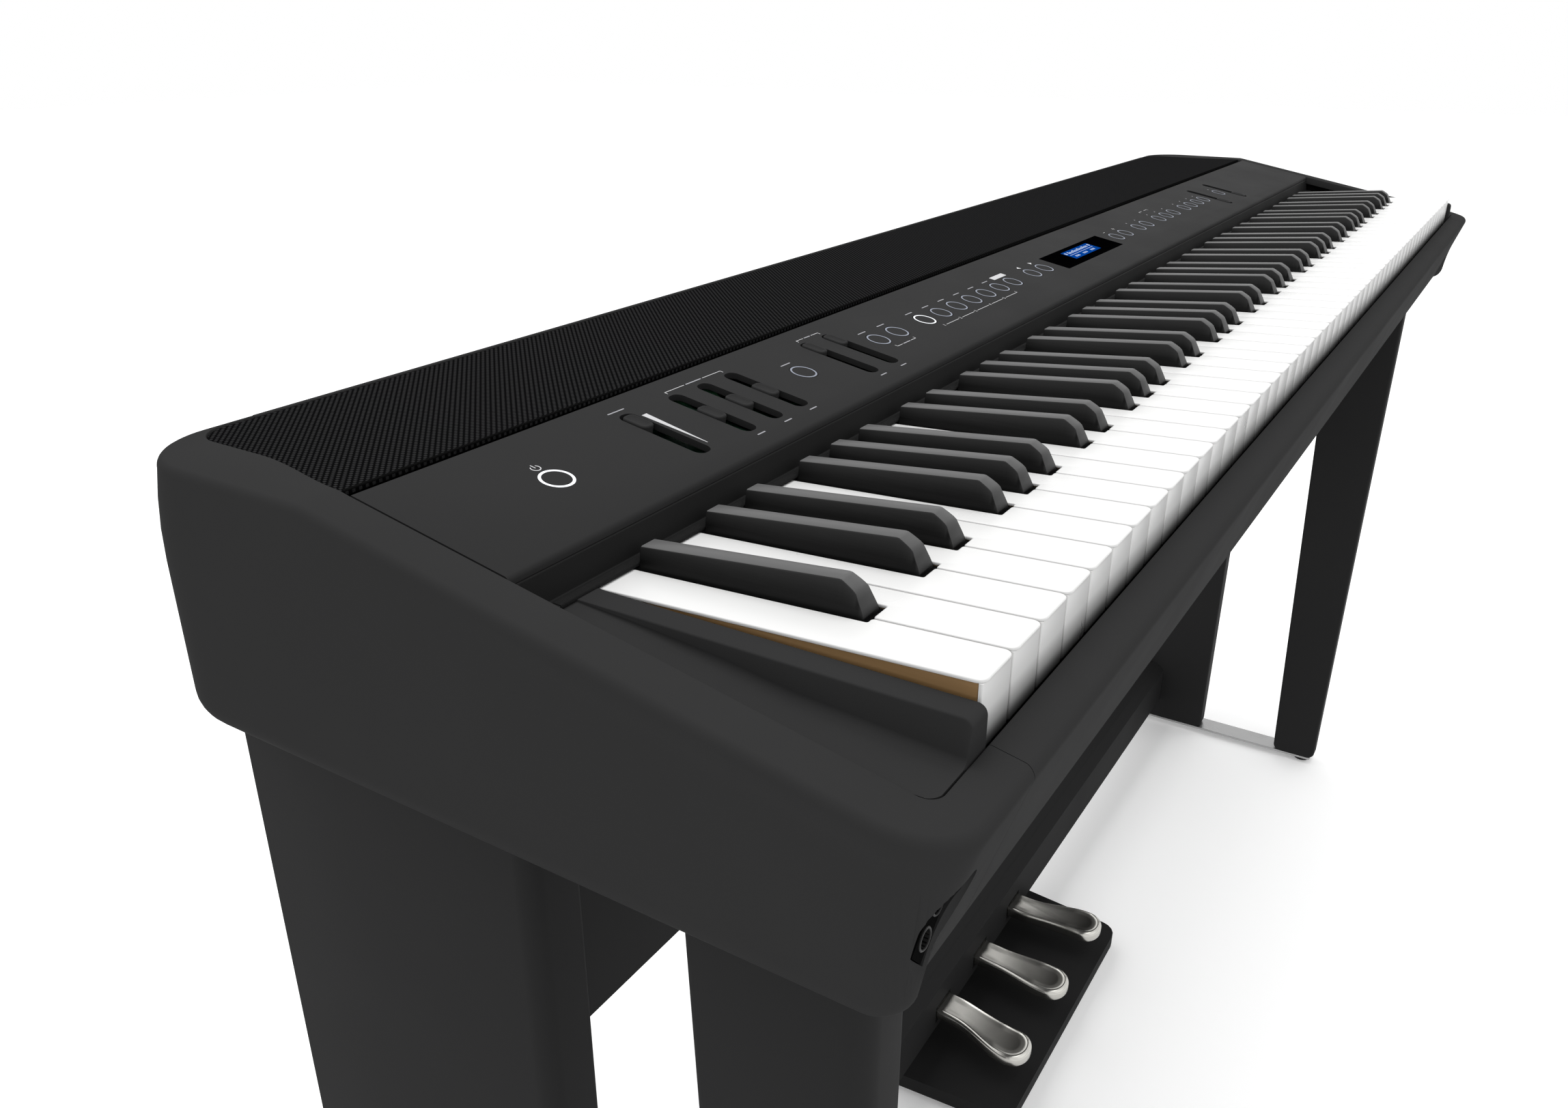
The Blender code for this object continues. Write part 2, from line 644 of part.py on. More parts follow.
def slider(name, x, y, look):
    half_x = KNOB_HALF_WIDTH
    half_y = KNOB_HALF_LENGTH
    outline = rounded([(x - half_x, y - half_y, 2.8), (x + half_x, y - half_y, 2.8),
                       (x + half_x, y + half_y, 2.8), (x - half_x, y + half_y, 2.8)], 2)
    finish(name, [panel_prism(outline, -6.5, 0.6)], look, at(x, y, panel_z(y)))


def button_group(name, places, look):
    """Round buttons; neighbours in one group stand on one carrier strip under the panel."""
    middle = (places[0] + places[-1]) / 2
    pivot = at(middle, BUTTON_Y, panel_z(BUTTON_Y))
    caps = [panel_prism(circle(x, BUTTON_Y, BUTTON_RADIUS, 12), -6.0, 0.4) for x in places]
    if len(places) == 1:
        return finish(name, caps, look, pivot)
    strip = [(places[0] - 2, BUTTON_Y - 2.5), (places[-1] + 2, BUTTON_Y - 2.5),
             (places[-1] + 2, BUTTON_Y + 2.5), (places[0] - 2, BUTTON_Y + 2.5)]
    group = finish(name, [panel_prism(strip, -7.0, -4.6)], look, pivot)
    modify(group, finish(name + "_caps", caps, look), "UNION")
    return group


# ---------------------------------------------------------------- stand
def leg(name, side, front, back_top, back_bottom, front_radius, back_radius, look):
    """Slab leg: a rounded plan outline that may narrow from the back towards the floor."""
    rings = []
    under_case = CASE_BOTTOM - GAP
    for z, back, inset in ((BAR_TOP + GAP, back_bottom, 5), (BAR_TOP + 6, back_bottom, 0),
                           (under_case, back_top, 0)):
        outline = rounded([(LEG_OUTER, front + inset, front_radius), (LEG_OUTER, back - inset, back_radius),
                           (LEG_INNER, back - inset, 3), (LEG_INNER, front + inset, 3)], 3)
        rings.append([at(side * x, y, z) for x, y in outline])
    return finish(name, [loft(rings)], look)


def make_stand(soft):
    for label, side in (("left", -1), ("right", 1)):
        leg("front_leg_" + label, side, 20.4, 96, 70.6, 11, 4, soft)
        leg("rear_leg_" + label, side, 167, 338, 338, 9, 2, soft)
        bar = rounded([(side * LEG_INNER, 24, 3), (side * LEG_OUTER, 24, 3),
                       (side * LEG_OUTER, 334, 3), (side * LEG_INNER, 334, 3)], 2)
        finish("base_bar_" + label, [prism_z(bar, BAR_BOTTOM, BAR_TOP)], (STEEL, 0.3, 1.0))
        for place, y in (("front", 36), ("rear", 322)):
            foot(f"foot_{place}_{label}", side * (LEG_INNER + 14.2), y)

    inner = LEG_INNER - GAP
    board = [(250, -330), (265, -330), (265, CASE_BOTTOM - GAP), (250, CASE_BOTTOM - GAP)]
    finish("back_board", [prism_x(board, -inner, inner)], soft)


def foot(name, x, y):
    rings = []
    for z, radius in ((FLOOR, 8.5), (FLOOR + 1.5, 10), (BAR_BOTTOM - GAP, 10)):
        rings.append([at(px, py, z) for px, py in circle(x, y, radius, 16)])
    finish(name, [loft(rings)], (RUBBER, 0.8))


def make_pedal_unit(soft):
    inner = LEG_INNER - GAP
    wall = BEAM_WALL
    front = BEAM_FRONT_Y
    profile = [(front, BEAM_BOTTOM), (front, -641.8), (235, BEAM_TOP - 0.4), (236, BEAM_TOP),
               (BEAM_BACK_Y, BEAM_TOP), (BEAM_BACK_Y, BEAM_TOP - wall), (236.5, BEAM_TOP - wall),
               (front + wall, -644), (front + wall, BEAM_BOTTOM + wall),
               (BEAM_BACK_Y, BEAM_BOTTOM + wall), (BEAM_BACK_Y, BEAM_BOTTOM)]
    beam = finish("pedal_beam", [prism_x(profile, -inner, inner)], soft)
    slots = []
    for x in (-PEDAL_SPACING, 0, PEDAL_SPACING):
        slots.append(block(x - 15.5, x + 15.5, front - 4, front + wall + 4, -680.5, -662.5))
    modify(beam, finish("pedal_slot_cutter", slots, soft), "DIFFERENCE")

    board = rounded([(-143.5, 130.5, 16), (143.5, 130.5, 16), (154, 262, 2), (-154, 262, 2)], 4)
    plate = finish("pedal_board", [prism_z(board, BAR_BOTTOM, -702)], soft)
    riser = block(-130, 130, 240, 258, -710, BEAM_BOTTOM - GAP)
    modify(plate, finish("pedal_board_riser", [riser], soft), "UNION")

    for name, side in (("pedal_left", -1), ("pedal_middle", 0), ("pedal_right", 1)):
        pedal(name, side)


def pedal(name, side):
    """Cast pedal: slim root, spoon-shaped end bowed outward on the outer two."""
    stations = ((254, 12, 12), (BEAM_FRONT_Y + 2, 13.9, 13.9), (205, 14, 14), (188, 14.4, 15.2),
                (172, 15.6, 17.6), (158, 18, 18.8), (148, 19, 19), (141, 17.5, 17.5),
                (137, 13, 13), (135, 7, 7))
    rings = []
    for y, inner_half, outer_half in stations:
        bow = 10.5 * smooth_step((215 - y) / 65)
        reach = min(max((BEAM_FRONT_Y - y) / 60, 0), 1)
        top = -665 - 3 * reach
        low = -675 - 4 * reach
        centre = side * (PEDAL_SPACING + bow)
        near = centre - inner_half
        far = centre + outer_half
        section = [(near + 2.5, low), (far - 2.5, low), (far, low + 3), (far, top - 1.5),
                   (far - 1.5, top), (near + 1.5, top), (near, top - 1.5), (near, low + 3)]
        rings.append([at(x, y, z) for x, z in section])
    finish(name, [loft(rings)], (STEEL, 0.22, 1.0), at(0, PEDAL_PIVOT_Y, PEDAL_PIVOT_Z))


def main():
    clear_scene()
    soft = (CHARCOAL, 0.55)
    make_case(soft)
    make_control_panel(soft)
    make_rear(soft)
    make_key_surround(soft)
    make_keys()
    make_controls(soft)
    make_stand(soft)
    make_pedal_unit(soft)


main()
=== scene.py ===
"""Looks of the digital piano on its stand: keys, case, panel, pedals, materials, light and camera.

Design coordinates are millimetres from the front edge of the white keys' tops, as in the
solid model: x from the middle of the keyboard, y back, z up. at() turns them into metres.
"""
import math

import bmesh
import bpy
from mathutils import Matrix, Vector


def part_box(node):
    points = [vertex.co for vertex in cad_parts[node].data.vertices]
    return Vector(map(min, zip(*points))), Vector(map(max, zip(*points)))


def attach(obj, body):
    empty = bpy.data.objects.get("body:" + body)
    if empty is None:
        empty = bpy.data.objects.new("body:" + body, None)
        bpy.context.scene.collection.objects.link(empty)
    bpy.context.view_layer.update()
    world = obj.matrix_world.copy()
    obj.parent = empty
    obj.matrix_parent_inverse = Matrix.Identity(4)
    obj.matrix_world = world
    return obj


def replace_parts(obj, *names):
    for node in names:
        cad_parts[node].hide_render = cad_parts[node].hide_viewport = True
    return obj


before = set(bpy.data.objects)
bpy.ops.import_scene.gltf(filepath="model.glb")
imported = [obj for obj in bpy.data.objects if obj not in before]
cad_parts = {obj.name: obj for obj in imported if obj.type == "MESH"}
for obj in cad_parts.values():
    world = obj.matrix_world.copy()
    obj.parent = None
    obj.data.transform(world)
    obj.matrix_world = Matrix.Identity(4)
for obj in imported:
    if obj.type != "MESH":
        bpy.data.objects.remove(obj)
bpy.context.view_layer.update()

MM = 0.001
CREASE = 38                                     # degrees above which an edge is shaded sharp
ROOT = "case_and_stand"
KEY_LOW, KEY_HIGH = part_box("key_a0")
KEY_GAP = 0.5                                   # from a key's edge to its share of the keyboard
HALF_KEYS = -KEY_LOW.x / MM + KEY_GAP           # half of the keyboard's width
FRONT_EDGE_Y = KEY_LOW.y - 0.0003               # where the white keys' front edge would be
KEY_TOP_Z = KEY_HIGH.z
WHITE_PITCH = HALF_KEYS * 2 / 52
OCTAVE = WHITE_PITCH * 7

CAP_LOW, CAP_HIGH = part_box("end_cap_right")
CASE_HALF = CAP_HIGH.x / MM
CASE_FRONT = (CAP_LOW.y - FRONT_EDGE_Y) / MM
CASE_BACK = (CAP_HIGH.y - FRONT_EDGE_Y) / MM
CASE_BOTTOM = (CAP_LOW.z - KEY_TOP_Z) / MM
CAP_SEAM = HALF_KEYS + 0.15                     # where the end caps meet the front rail
RIM_WIDTH = 23.2
RIM_INNER = CASE_HALF - RIM_WIDTH
RIM_FRONT_Y = CASE_FRONT + 15.2
RIM_EDGE = 4.2                                  # depth of the rim's rounded outer edge
RIM_FLAT_Z = 24.5
PLAY = 0.3                                      # gap between neighbouring mouldings
PANEL_SLOPE = 0.19
PANEL_TILT = math.atan(PANEL_SLOPE)
PANEL_FRONT_Y = 153.5
PANEL_FRONT_Z = 9.4
PANEL_BACK_Y = 227.7
PANEL_THICK = 3.0
FRONT_CORNER = 26.0
REAR_CORNER = 40.0
FRONT_LEAN = 20.0                               # how far the front wall draws back at its foot
BOTTOM_FILLET = 14.0
WALL = 5.0
GRILLE_FRONT_Y = 231.6
GRILLE_BACK_Y = 333.2
GRILLE_SIDE_Y = 296.0                           # where the grille's rear corners begin
GRILLE_CORNER = 15.0
GRILLE_Z = 23.8

KEY_TOP_SLOPE = 0.047
KEY_BOTTOM_Z = -18.0
KEY_LENGTH = 228.0
LIP = 1.35
FRONT_FACE_BOTTOM = -25.5
NOTCH_Y = 49.9
NOTCH_HALF = 7.1
BLACK_CENTRES = (20.9, 48.7, 90.0, 116.7, 143.5)
WHITE_SHARPS = ((None, 0), (0, 1), (1, None), (None, 2), (2, 3), (3, 4), (4, None))
LOWEST_SHARP = 26.9
BLACK_SHOULDER_Y = 62.6                         # where a black key's toe ends
BLACK_SHOULDER_Z = 9.03
BLACK_BACK_Y = 145.0
BLACK_TAIL_Z = -8.3
NOTCH_SHADE_Y = (50.6, 140.0)                          # painted shade: dark block that fills the notch, front to back

LEG_OUTER = HALF_KEYS + 27.5
LEG_INNER = HALF_KEYS - 1.0
BAR_TOP = (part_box("base_bar_left")[1].z - KEY_TOP_Z) / MM
PEDAL_SPACING = 84.0
PEDAL_TOP_Z = -665.0
PEDAL_TIP_Y = 134.8
PEDAL_TIP_RADIUS = 17.5
BEAM_FRONT_Y = 225.3

RECESS_TILT = math.radians(-42)
SCOOP_RADII = (24.0, 7.0, 13.0)
SCOOP_SHIFT = (-5.5, 0.0, -2.2)
POCKET_SIZE = (24.6, 12.5, 9.6)
JACK_FACE_Y = -3.9
JACK_SPACING = 10.6

BUTTON_Y = 190.5
HOLE_RADIUS = 7.3
RING_OUTER = 6.7
RING_WIDTH = 0.85
POWER_RING = (7.15, 1.2)
SLOT_HALF_WIDTH = 4.7
SLOT_FRONT_Y = 167.5
SLOT_BACK_Y = 212.3
KNOB_HALF = (3.9, 6.65)
KNOB_CORNER = 2.9
DISPLAY_X = (552.5, 672.5)
DISPLAY_Y = (178.6, 202.3)
LCD_X = (585.6, 639.0)
LCD_Y = (185.3, 198.0)
TONE_PITCH = 21.9
NUMBER_X = 347.5
NUMBER_Y = 178.6
BRACKET_Y = 216.0
SYMBOL_Y = 201.2
PRINT_LOW = -0.05                               # printing: a strip this far into the panel
PRINT_HIGH = 0.07                               # and this far above it

LENS = 27.98                                    # millimetres, on a sensor 36 mm wide
CAMERA_PLACE = (-903.95, -115.39, 177.19)
CAMERA_HEADING = math.radians(32.237)           # from the keyboard's length to the back
CAMERA_PITCH = math.radians(23.776)             # down from level

# Distances from the lowest key's left edge: slider (x, y of its knob), buttons (x).
SLIDERS = {
    "volume_slider": (96.4, 203.8), "equaliser_slider_1": (131.0, 189.9),
    "equaliser_slider_2": (152.9, 189.9), "equaliser_slider_3": (174.8, 189.9),
    "part_slider_1": (244.4, 204.6), "part_slider_2": (266.3, 204.6),
    "wheel_slider_1": (972.1, 176.1), "wheel_slider_2": (1029.0, 176.1),
}
BUTTON_GROUPS = {
    "power_button": [30.0],
    "ambience_button": [210.4],
    "split_buttons": [289.0, 310.6],
    "tone_buttons": [345.6 + TONE_PITCH * step for step in range(7)],
    "arrow_buttons": [512.1, 534.0],
    "value_buttons": [691.7, 714.0],
    "function_buttons": [748.5, 770.6, 805.8, 827.9, 850.2, 884.6, 906.9, 929.2, 951.0],
    "record_button": [1008.5],
}


# ---------------------------------------------------------------- geometry helpers
def at(x, y, z):
    return Vector((x * MM, FRONT_EDGE_Y + y * MM, KEY_TOP_Z + z * MM))


def from_left(x):
    return x - HALF_KEYS


def smooth_step(t):
    t = min(max(t, 0.0), 1.0)
    return t * t * (3 - 2 * t)


def panel_z(y):
    return PANEL_FRONT_Z + PANEL_SLOPE * (y - PANEL_FRONT_Y)


def rim_z(y):
    return min(panel_z(y), RIM_FLAT_Z)


def key_top(y):
    return -KEY_TOP_SLOPE * y


def quarter_turns(steps, first=0):
    """Angles of a quarter circle in equal steps, from step first on."""
    return [math.pi / 2 * step / steps for step in range(first, steps + 1)]


def skin(rings, capped=True):
    """A bmesh skin over rings with equal numbers of points, with the end rings as caps."""
    build = bmesh.new()
    rows = [[build.verts.new(point) for point in ring] for ring in rings]
    count = len(rows[0])
    for near, far in zip(rows, rows[1:]):
        for index in range(count):
            after = (index + 1) % count
            build.faces.new((near[index], near[after], far[after], far[index]))
    if capped:
        build.faces.new(list(reversed(rows[0])))
        build.faces.new(rows[-1])
    bmesh.ops.recalc_face_normals(build, faces=build.faces)
    return build


def piece(name, builds, look, body=ROOT, crease=CREASE, bevel=0.0):
    """Make one object from bmeshes, shade it, round its edges and let it ride on a body."""
    mesh = bpy.data.meshes.new(name)
    whole = bmesh.new()
    for build in builds:
        part = bpy.data.meshes.new("part")
        build.to_mesh(part)
        build.free()
        whole.from_mesh(part)
        bpy.data.meshes.remove(part)
    for face in whole.faces:
        face.smooth = True
    whole.to_mesh(mesh)
    whole.free()
    mesh.set_sharp_from_angle(angle=math.radians(crease))
    mesh.materials.append(look)
    thing = bpy.data.objects.new(name, mesh)
    bpy.context.scene.collection.objects.link(thing)
    if bevel:
        round_edges(thing, bevel)
    if body:
        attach(thing, body)
    return thing


def round_edges(thing, width, segments=2, weld=False):
    """Round the sharp edges of a piece by modifiers; a CAD node is welded first."""
    if weld:
        joint = thing.modifiers.new("weld", "WELD")
        joint.merge_threshold = 0.00001
    edge = thing.modifiers.new("round_edges", "BEVEL")
    edge.width = width * MM
    edge.segments = segments
    edge.limit_method = "ANGLE"
    edge.angle_limit = math.radians(40)
    edge.harden_normals = True
    edge.use_clamp_overlap = True


def prism_x(profile, x0, x1):
    return skin([[at(x, y, z) for y, z in profile] for x in (x0, x1)])


def prism_z(outline, z0, z1):
    return skin([[at(x, y, z) for x, y in outline] for z in (z0, z1)])


def block(x0, x1, y0, y1, z0, z1):
    return prism_z([(x0, y0), (x1, y0), (x1, y1), (x0, y1)], z0, z1)


def rounded(corners, steps=6):
    """Outline of (x, y, radius) corners, each rounded by an arc of that radius."""
    points = []
    count = len(corners)
    for index, (x, y, radius) in enumerate(corners):
        here = Vector((x, y))
        if radius == 0:
            points.append((x, y))
            continue
        before = (Vector(corners[index - 1][:2]) - here).normalized()
        after = (Vector(corners[(index + 1) % count][:2]) - here).normalized()
        half = before.angle(after) / 2
        centre = here + (before + after).normalized() * radius / math.sin(half)
        start = here + before * radius / math.tan(half) - centre
        end = here + after * radius / math.tan(half) - centre
        turn = start.angle_signed(end)
        for step in range(steps + 1):
            spot = centre + Matrix.Rotation(-turn * step / steps, 2) @ start
            points.append((spot.x, spot.y))
    return points


def rounded_box(x0, x1, y0, y1, radius, steps=6):
    return rounded([(x0, y0, radius), (x1, y0, radius), (x1, y1, radius), (x0, y1, radius)], steps)


def circle(x, y, radius, sides):
    turns = [2 * math.pi * step / sides for step in range(sides)]
    return [(x + radius * math.cos(turn), y + radius * math.sin(turn)) for turn in turns]


def on_panel(x, y, height):
    """A point over the control panel; height is along the panel's normal."""
    return at(x, y - math.sin(PANEL_TILT) * height, panel_z(y) + math.cos(PANEL_TILT) * height)


def panel_prism(outline, low, high):
    return skin([[on_panel(x, y, height) for x, y in outline] for height in (low, high)])


def lathe(profile, place, sides=48):
    """Turn a (radius, height) profile, closed or ending on the axis, about place's z."""
    build = bmesh.new()
    rows = []
    for radius, height in profile:
        if radius == 0:
            rows.append([build.verts.new(place @ Vector((0, 0, height * MM)))])
            continue
        rows.append([build.verts.new(place @ Vector((x * MM, y * MM, height * MM)))
                     for x, y in circle(0, 0, radius, sides)])
    for near, far in zip(rows, rows[1:]):
        for index in range(sides):
            after = (index + 1) % sides
            corners = [near[index % len(near)], near[after % len(near)]]
            corners += [far[after % len(far)], far[index % len(far)]]
            build.faces.new(list(dict.fromkeys(corners)))
    bmesh.ops.recalc_face_normals(build, faces=build.faces)
    return build


def annulus(x, y, outer, inner, low, high, sides=64):
    """Flat ring on the control panel, closed underneath."""
    rings = []
    for radius, height in ((outer, low), (outer, high), (inner, high), (inner, low), (outer, low)):
        rings.append([on_panel(px, py, height) for px, py in circle(x, y, radius, sides)])
    return skin(rings, capped=False)


def cut(target, cutter):
    """Boolean difference, applied at once, after which the cutter is removed."""
    step = target.modifiers.new("cut", "BOOLEAN")
    step.operation = "DIFFERENCE"
    step.solver = "EXACT"
    step.object = cutter
    bpy.context.view_layer.update()
    graph = bpy.context.evaluated_depsgraph_get()
    shaped = bpy.data.meshes.new_from_object(target.evaluated_get(graph))
    target.modifiers.remove(step)
    old = target.data
    target.data = shaped
    bpy.data.meshes.remove(old)
    bpy.data.objects.remove(cutter, do_unlink=True)
    target.data.set_sharp_from_angle(angle=math.radians(CREASE))


# ---------------------------------------------------------------- materials
def graph_of(name):
    look = bpy.data.materials.new(name)
    look.use_nodes = True
    tree = look.node_tree
    return look, tree, tree.nodes["Principled BSDF"]


def feed(socket, value):
    """Link another node's output to a socket, or set it to a number, vector or colour."""
    if isinstance(value, bpy.types.NodeSocket):
        socket.id_data.links.new(value, socket)
    elif socket.type == "RGBA":
        socket.default_value = (*value, 1.0)
    else:
        socket.default_value = value


def set_inputs(node, **values):
    """Feed a node's inputs, each named with _ for a space, and return the node."""
    for label, value in values.items():
        feed(node.inputs[label.replace("_", " ")], value)
    return node


def coordinates(tree, stretch=(1, 1, 1)):
    """Object coordinates in metres, stretched per axis."""
    source = tree.nodes.new("ShaderNodeTexCoord").outputs["Object"]
    node = set_inputs(tree.nodes.new("ShaderNodeMapping"), Vector=source, Scale=stretch)
    return node.outputs["Vector"]


def component(tree, vector, axis):
    return set_inputs(tree.nodes.new("ShaderNodeSeparateXYZ"), Vector=vector).outputs[axis]


def facing(tree, axis):
    """How far the surface faces along an axis, from -1 to 1."""
    return component(tree, tree.nodes.new("ShaderNodeNewGeometry").outputs["Normal"], axis)


def noise(tree, scale, detail=3.0, roughness=0.55, stretch=(1, 1, 1)):
    """Noise over the object, with a finer or coarser grain per axis where stretch says so."""
    node = set_inputs(tree.nodes.new("ShaderNodeTexNoise"), Vector=coordinates(tree, stretch),
                      Scale=scale, Detail=detail, Roughness=roughness)
    return node.outputs["Fac"]


def spread(tree, source, low, high, start=0.3, end=0.7):
    """Map a value between start and end to low..high."""
    node = set_inputs(tree.nodes.new("ShaderNodeMapRange"), Value=source, From_Min=start,
                      From_Max=end, To_Min=low, To_Max=high)
    return node.outputs["Result"]


def blend_colors(tree, factor, first, second):
    """First colour at factor 0, second at 1; either may be an output of a node."""
    node = tree.nodes.new("ShaderNodeMix")
    node.data_type = "RGBA"
    return set_inputs(node, Factor=factor, A=first, B=second).outputs["Result"]


def math_node(tree, operation, first, second=0.0):
    node = tree.nodes.new("ShaderNodeMath")
    node.operation = operation
    feed(node.inputs[0], first)
    feed(node.inputs[1], second)
    return node.outputs[0]


def bump(tree, shader, height, strength, distance):
    node = set_inputs(tree.nodes.new("ShaderNodeBump"), Height=height, Strength=strength,
                      Distance=distance)
    feed(shader.inputs["Normal"], node.outputs["Normal"])


def moulded_plastic(name, dark, light, rough, grain=2600.0, strength=0.12, shine=0.16):
    """Matte moulding: fine spark-eroded grain, with faint clouds in tone and gloss."""
    look, tree, shader = graph_of(name)
    cloud = noise(tree, 14.0, 4.0)
    set_inputs(shader, Base_Color=blend_colors(tree, cloud, dark, light),
               Roughness=spread(tree, cloud, rough - 0.05, rough + 0.05),
               Specular_IOR_Level=shine)
    bump(tree, shader, noise(tree, grain, 2.0), strength, 0.0002)
    return look


def painted_board(name, dark, light, rough):
    """Painted fibreboard: orange-peel ripple under a satin coat."""
    look, tree, shader = graph_of(name)
    cloud = noise(tree, 6.0, 5.0)
    set_inputs(shader, Base_Color=blend_colors(tree, cloud, dark, light),
               Roughness=spread(tree, cloud, rough - 0.06, rough + 0.06),
               Specular_IOR_Level=0.02)
    bump(tree, shader, noise(tree, 420.0, 2.0, 0.4), 0.08, 0.0003)
    return look


def white_plastic(name):
    """White keys: satin, with painted shade low on the front face behind the front rail and on faces
    turned to the front.
    """
    look, tree, shader = graph_of(name)
    wear = noise(tree, 30.0, 4.0)
    white = blend_colors(tree, wear, (0.655, 0.655, 0.65), (0.675, 0.675, 0.67))
    height = component(tree, coordinates(tree), "Z")
    # painted shade: the front face darkens towards its foot, behind the front rail
    painted_rail_shade = spread(tree, height, 1.0, 0.0, at(0, 0, -26).z, at(0, 0, -11).z)
    # painted shade: faces turned to the front are a little darker
    forward = spread(tree, facing(tree, "Y"), 0.08, 0.0, -0.95, -0.4)
    shade = math_node(tree, "MAXIMUM", forward, painted_rail_shade)
    set_inputs(shader, Base_Color=blend_colors(tree, shade, white, (0.03, 0.03, 0.03)),
               Roughness=spread(tree, wear, 0.27, 0.31), Coat_Weight=0.08, Coat_Roughness=0.25,
               Specular_IOR_Level=0.3)
    bump(tree, shader, noise(tree, 1500.0, 2.0), 0.015, 0.0001)
    return look


def ebony_plastic(name):
    """Black keys: matte, with a painted highlight that makes the tops paler, and long faint streaks
    along the key.
    """
    look, tree, shader = graph_of(name)
    streak = noise(tree, 1.0, 5.0, 0.6, (900.0, 24.0, 900.0))
    patch = noise(tree, 1.0, 4.0, stretch=(60.0, 12.0, 60.0))
    side = blend_colors(tree, streak, (0.001, 0.001, 0.001), (0.009, 0.009, 0.009))
    # painted highlight: faces turned up get a paler colour than the sides
    painted_top_highlight = spread(tree, facing(tree, "Z"), 0.0, 1.0, 0.15, 0.95)
    set_inputs(shader, Base_Color=blend_colors(tree, painted_top_highlight, side, (0.085, 0.085, 0.085)),
               Roughness=spread(tree, patch, 0.34, 0.50), Specular_IOR_Level=0.14)
    bump(tree, shader, streak, 0.16, 0.0001)
    return look


def key_wood(name):
    look, tree, shader = graph_of(name)
    grain = noise(tree, 1.0, 6.0, 0.62, (260.0, 9.0, 420.0))
    set_inputs(shader, Roughness=spread(tree, grain, 0.5, 0.7),
               Base_Color=blend_colors(tree, grain, (0.17, 0.095, 0.034), (0.30, 0.18, 0.075)))
    bump(tree, shader, grain, 0.25, 0.0002)
    return look


def felt(name, dark, light):
    look, tree, shader = graph_of(name)
    fuzz = noise(tree, 2400.0, 6.0, 0.8)
    set_inputs(shader, Base_Color=blend_colors(tree, fuzz, dark, light), Roughness=0.95,
               Sheen_Weight=0.05, Sheen_Roughness=0.5, Specular_IOR_Level=0.05)
    bump(tree, shader, fuzz, 0.8, 0.0005)
    return look


def brushed_steel(name, dark, light, rough):
    """Steel with fine brushed lines from front to back, and duller patches."""
    look, tree, shader = graph_of(name)
    patch = noise(tree, 45.0, 1.0)
    set_inputs(shader, Base_Color=blend_colors(tree, patch, dark, light), Metallic=1.0,
               Roughness=spread(tree, patch, rough * 0.7, rough * 1.4))
    lines = noise(tree, 1.0, 5.0, 0.5, (1600.0, 18.0, 1600.0))
    bump(tree, shader, lines, 0.15, 0.00006)
    return look


def cast_metal(name, dark, light, reflection_dark, rough):
    """Polished casting: almost even, with a painted dark reflection on the dish that deepens towards
    the pedal's tip.
    """
    look, tree, shader = graph_of(name)
    patch = noise(tree, 18.0, 1.0)
    metal = blend_colors(tree, patch, dark, light)
    # painted reflection: the flat top of the dish is mixed towards a dark colour near the tip
    flat = spread(tree, facing(tree, "Z"), 0.0, 1.0, 0.965, 0.995)
    tip, shank = at(0, PEDAL_TIP_Y + 12, 0).y, at(0, BEAM_FRONT_Y - 22, 0).y
    towards_tip = spread(tree, component(tree, coordinates(tree), "Y"), 1.0, 0.0, tip, shank)
    painted_dish_reflection = math_node(tree, "MULTIPLY", flat, towards_tip)
    set_inputs(shader, Base_Color=blend_colors(tree, painted_dish_reflection, metal, reflection_dark), Metallic=1.0,
               Roughness=spread(tree, patch, rough * 0.95, rough * 1.05))
    fine = noise(tree, 1.0, 1.0, stretch=(500.0, 60.0, 500.0))
    bump(tree, shader, fine, 0.02, 0.00003)
    return look


def plain_paint(name, color, rough, glow=0.0):
    """Printed mark, small light or floor: one colour with faint wear in tone and gloss."""
    look, tree, shader = graph_of(name)
    wear = noise(tree, 900.0, 3.0)
    softer = tuple(channel * 0.9 for channel in color)
    set_inputs(shader, Base_Color=blend_colors(tree, wear, softer, color),
               Roughness=spread(tree, wear, rough - 0.05, rough + 0.05))
    if glow:
        set_inputs(shader, Emission_Color=color, Emission_Strength=glow)
    return look


def dot_lattice(tree, pitch, radius):
    """1 on round dots of a staggered lattice in x and y, 0 between them."""
    cells = coordinates(tree, (1 / pitch, 1 / pitch, 1))
    distances = []
    for shift in (0.0, 0.5):
        squares = []
        for axis in ("X", "Y"):
            moved = math_node(tree, "ADD", component(tree, cells, axis), shift + 1000.0)
            centred = math_node(tree, "SUBTRACT", math_node(tree, "FRACT", moved), 0.5)
            squares.append(math_node(tree, "MULTIPLY", centred, centred))
        distances.append(math_node(tree, "SQRT", math_node(tree, "ADD", *squares)))
    nearest = math_node(tree, "MINIMUM", *distances)
    return spread(tree, nearest, 1.0, 0.0, radius - 0.06, radius + 0.06)


def grille_cloth(name):
    """Perforated grille: raised dots on a black ground."""
    look, tree, shader = graph_of(name)
    dots = dot_lattice(tree, 0.00304, 0.24)
    set_inputs(shader, Roughness=0.75, Specular_IOR_Level=0.0,
               Base_Color=blend_colors(tree, dots, (0.0026, 0.0026, 0.0028), (0.022, 0.022, 0.0225)))
    bump(tree, shader, dots, 0.6, 0.0004)
    return look


def display_glow(name):
    """Blue display with a faint pixel grid."""
    look, tree, shader = graph_of(name)
    soft = noise(tree, 28.0, 2.0)
    pixels = dot_lattice(tree, 0.0009, 0.34)
    set_inputs(shader, Base_Color=blend_colors(tree, soft, (0.0, 0.004, 0.03), (0.0, 0.008, 0.05)),
               Emission_Color=blend_colors(tree, pixels, (0.001, 0.035, 0.19), (0.002, 0.051, 0.27)),
               Emission_Strength=1.0, Roughness=0.4, Specular_IOR_Level=0.0)
    return look


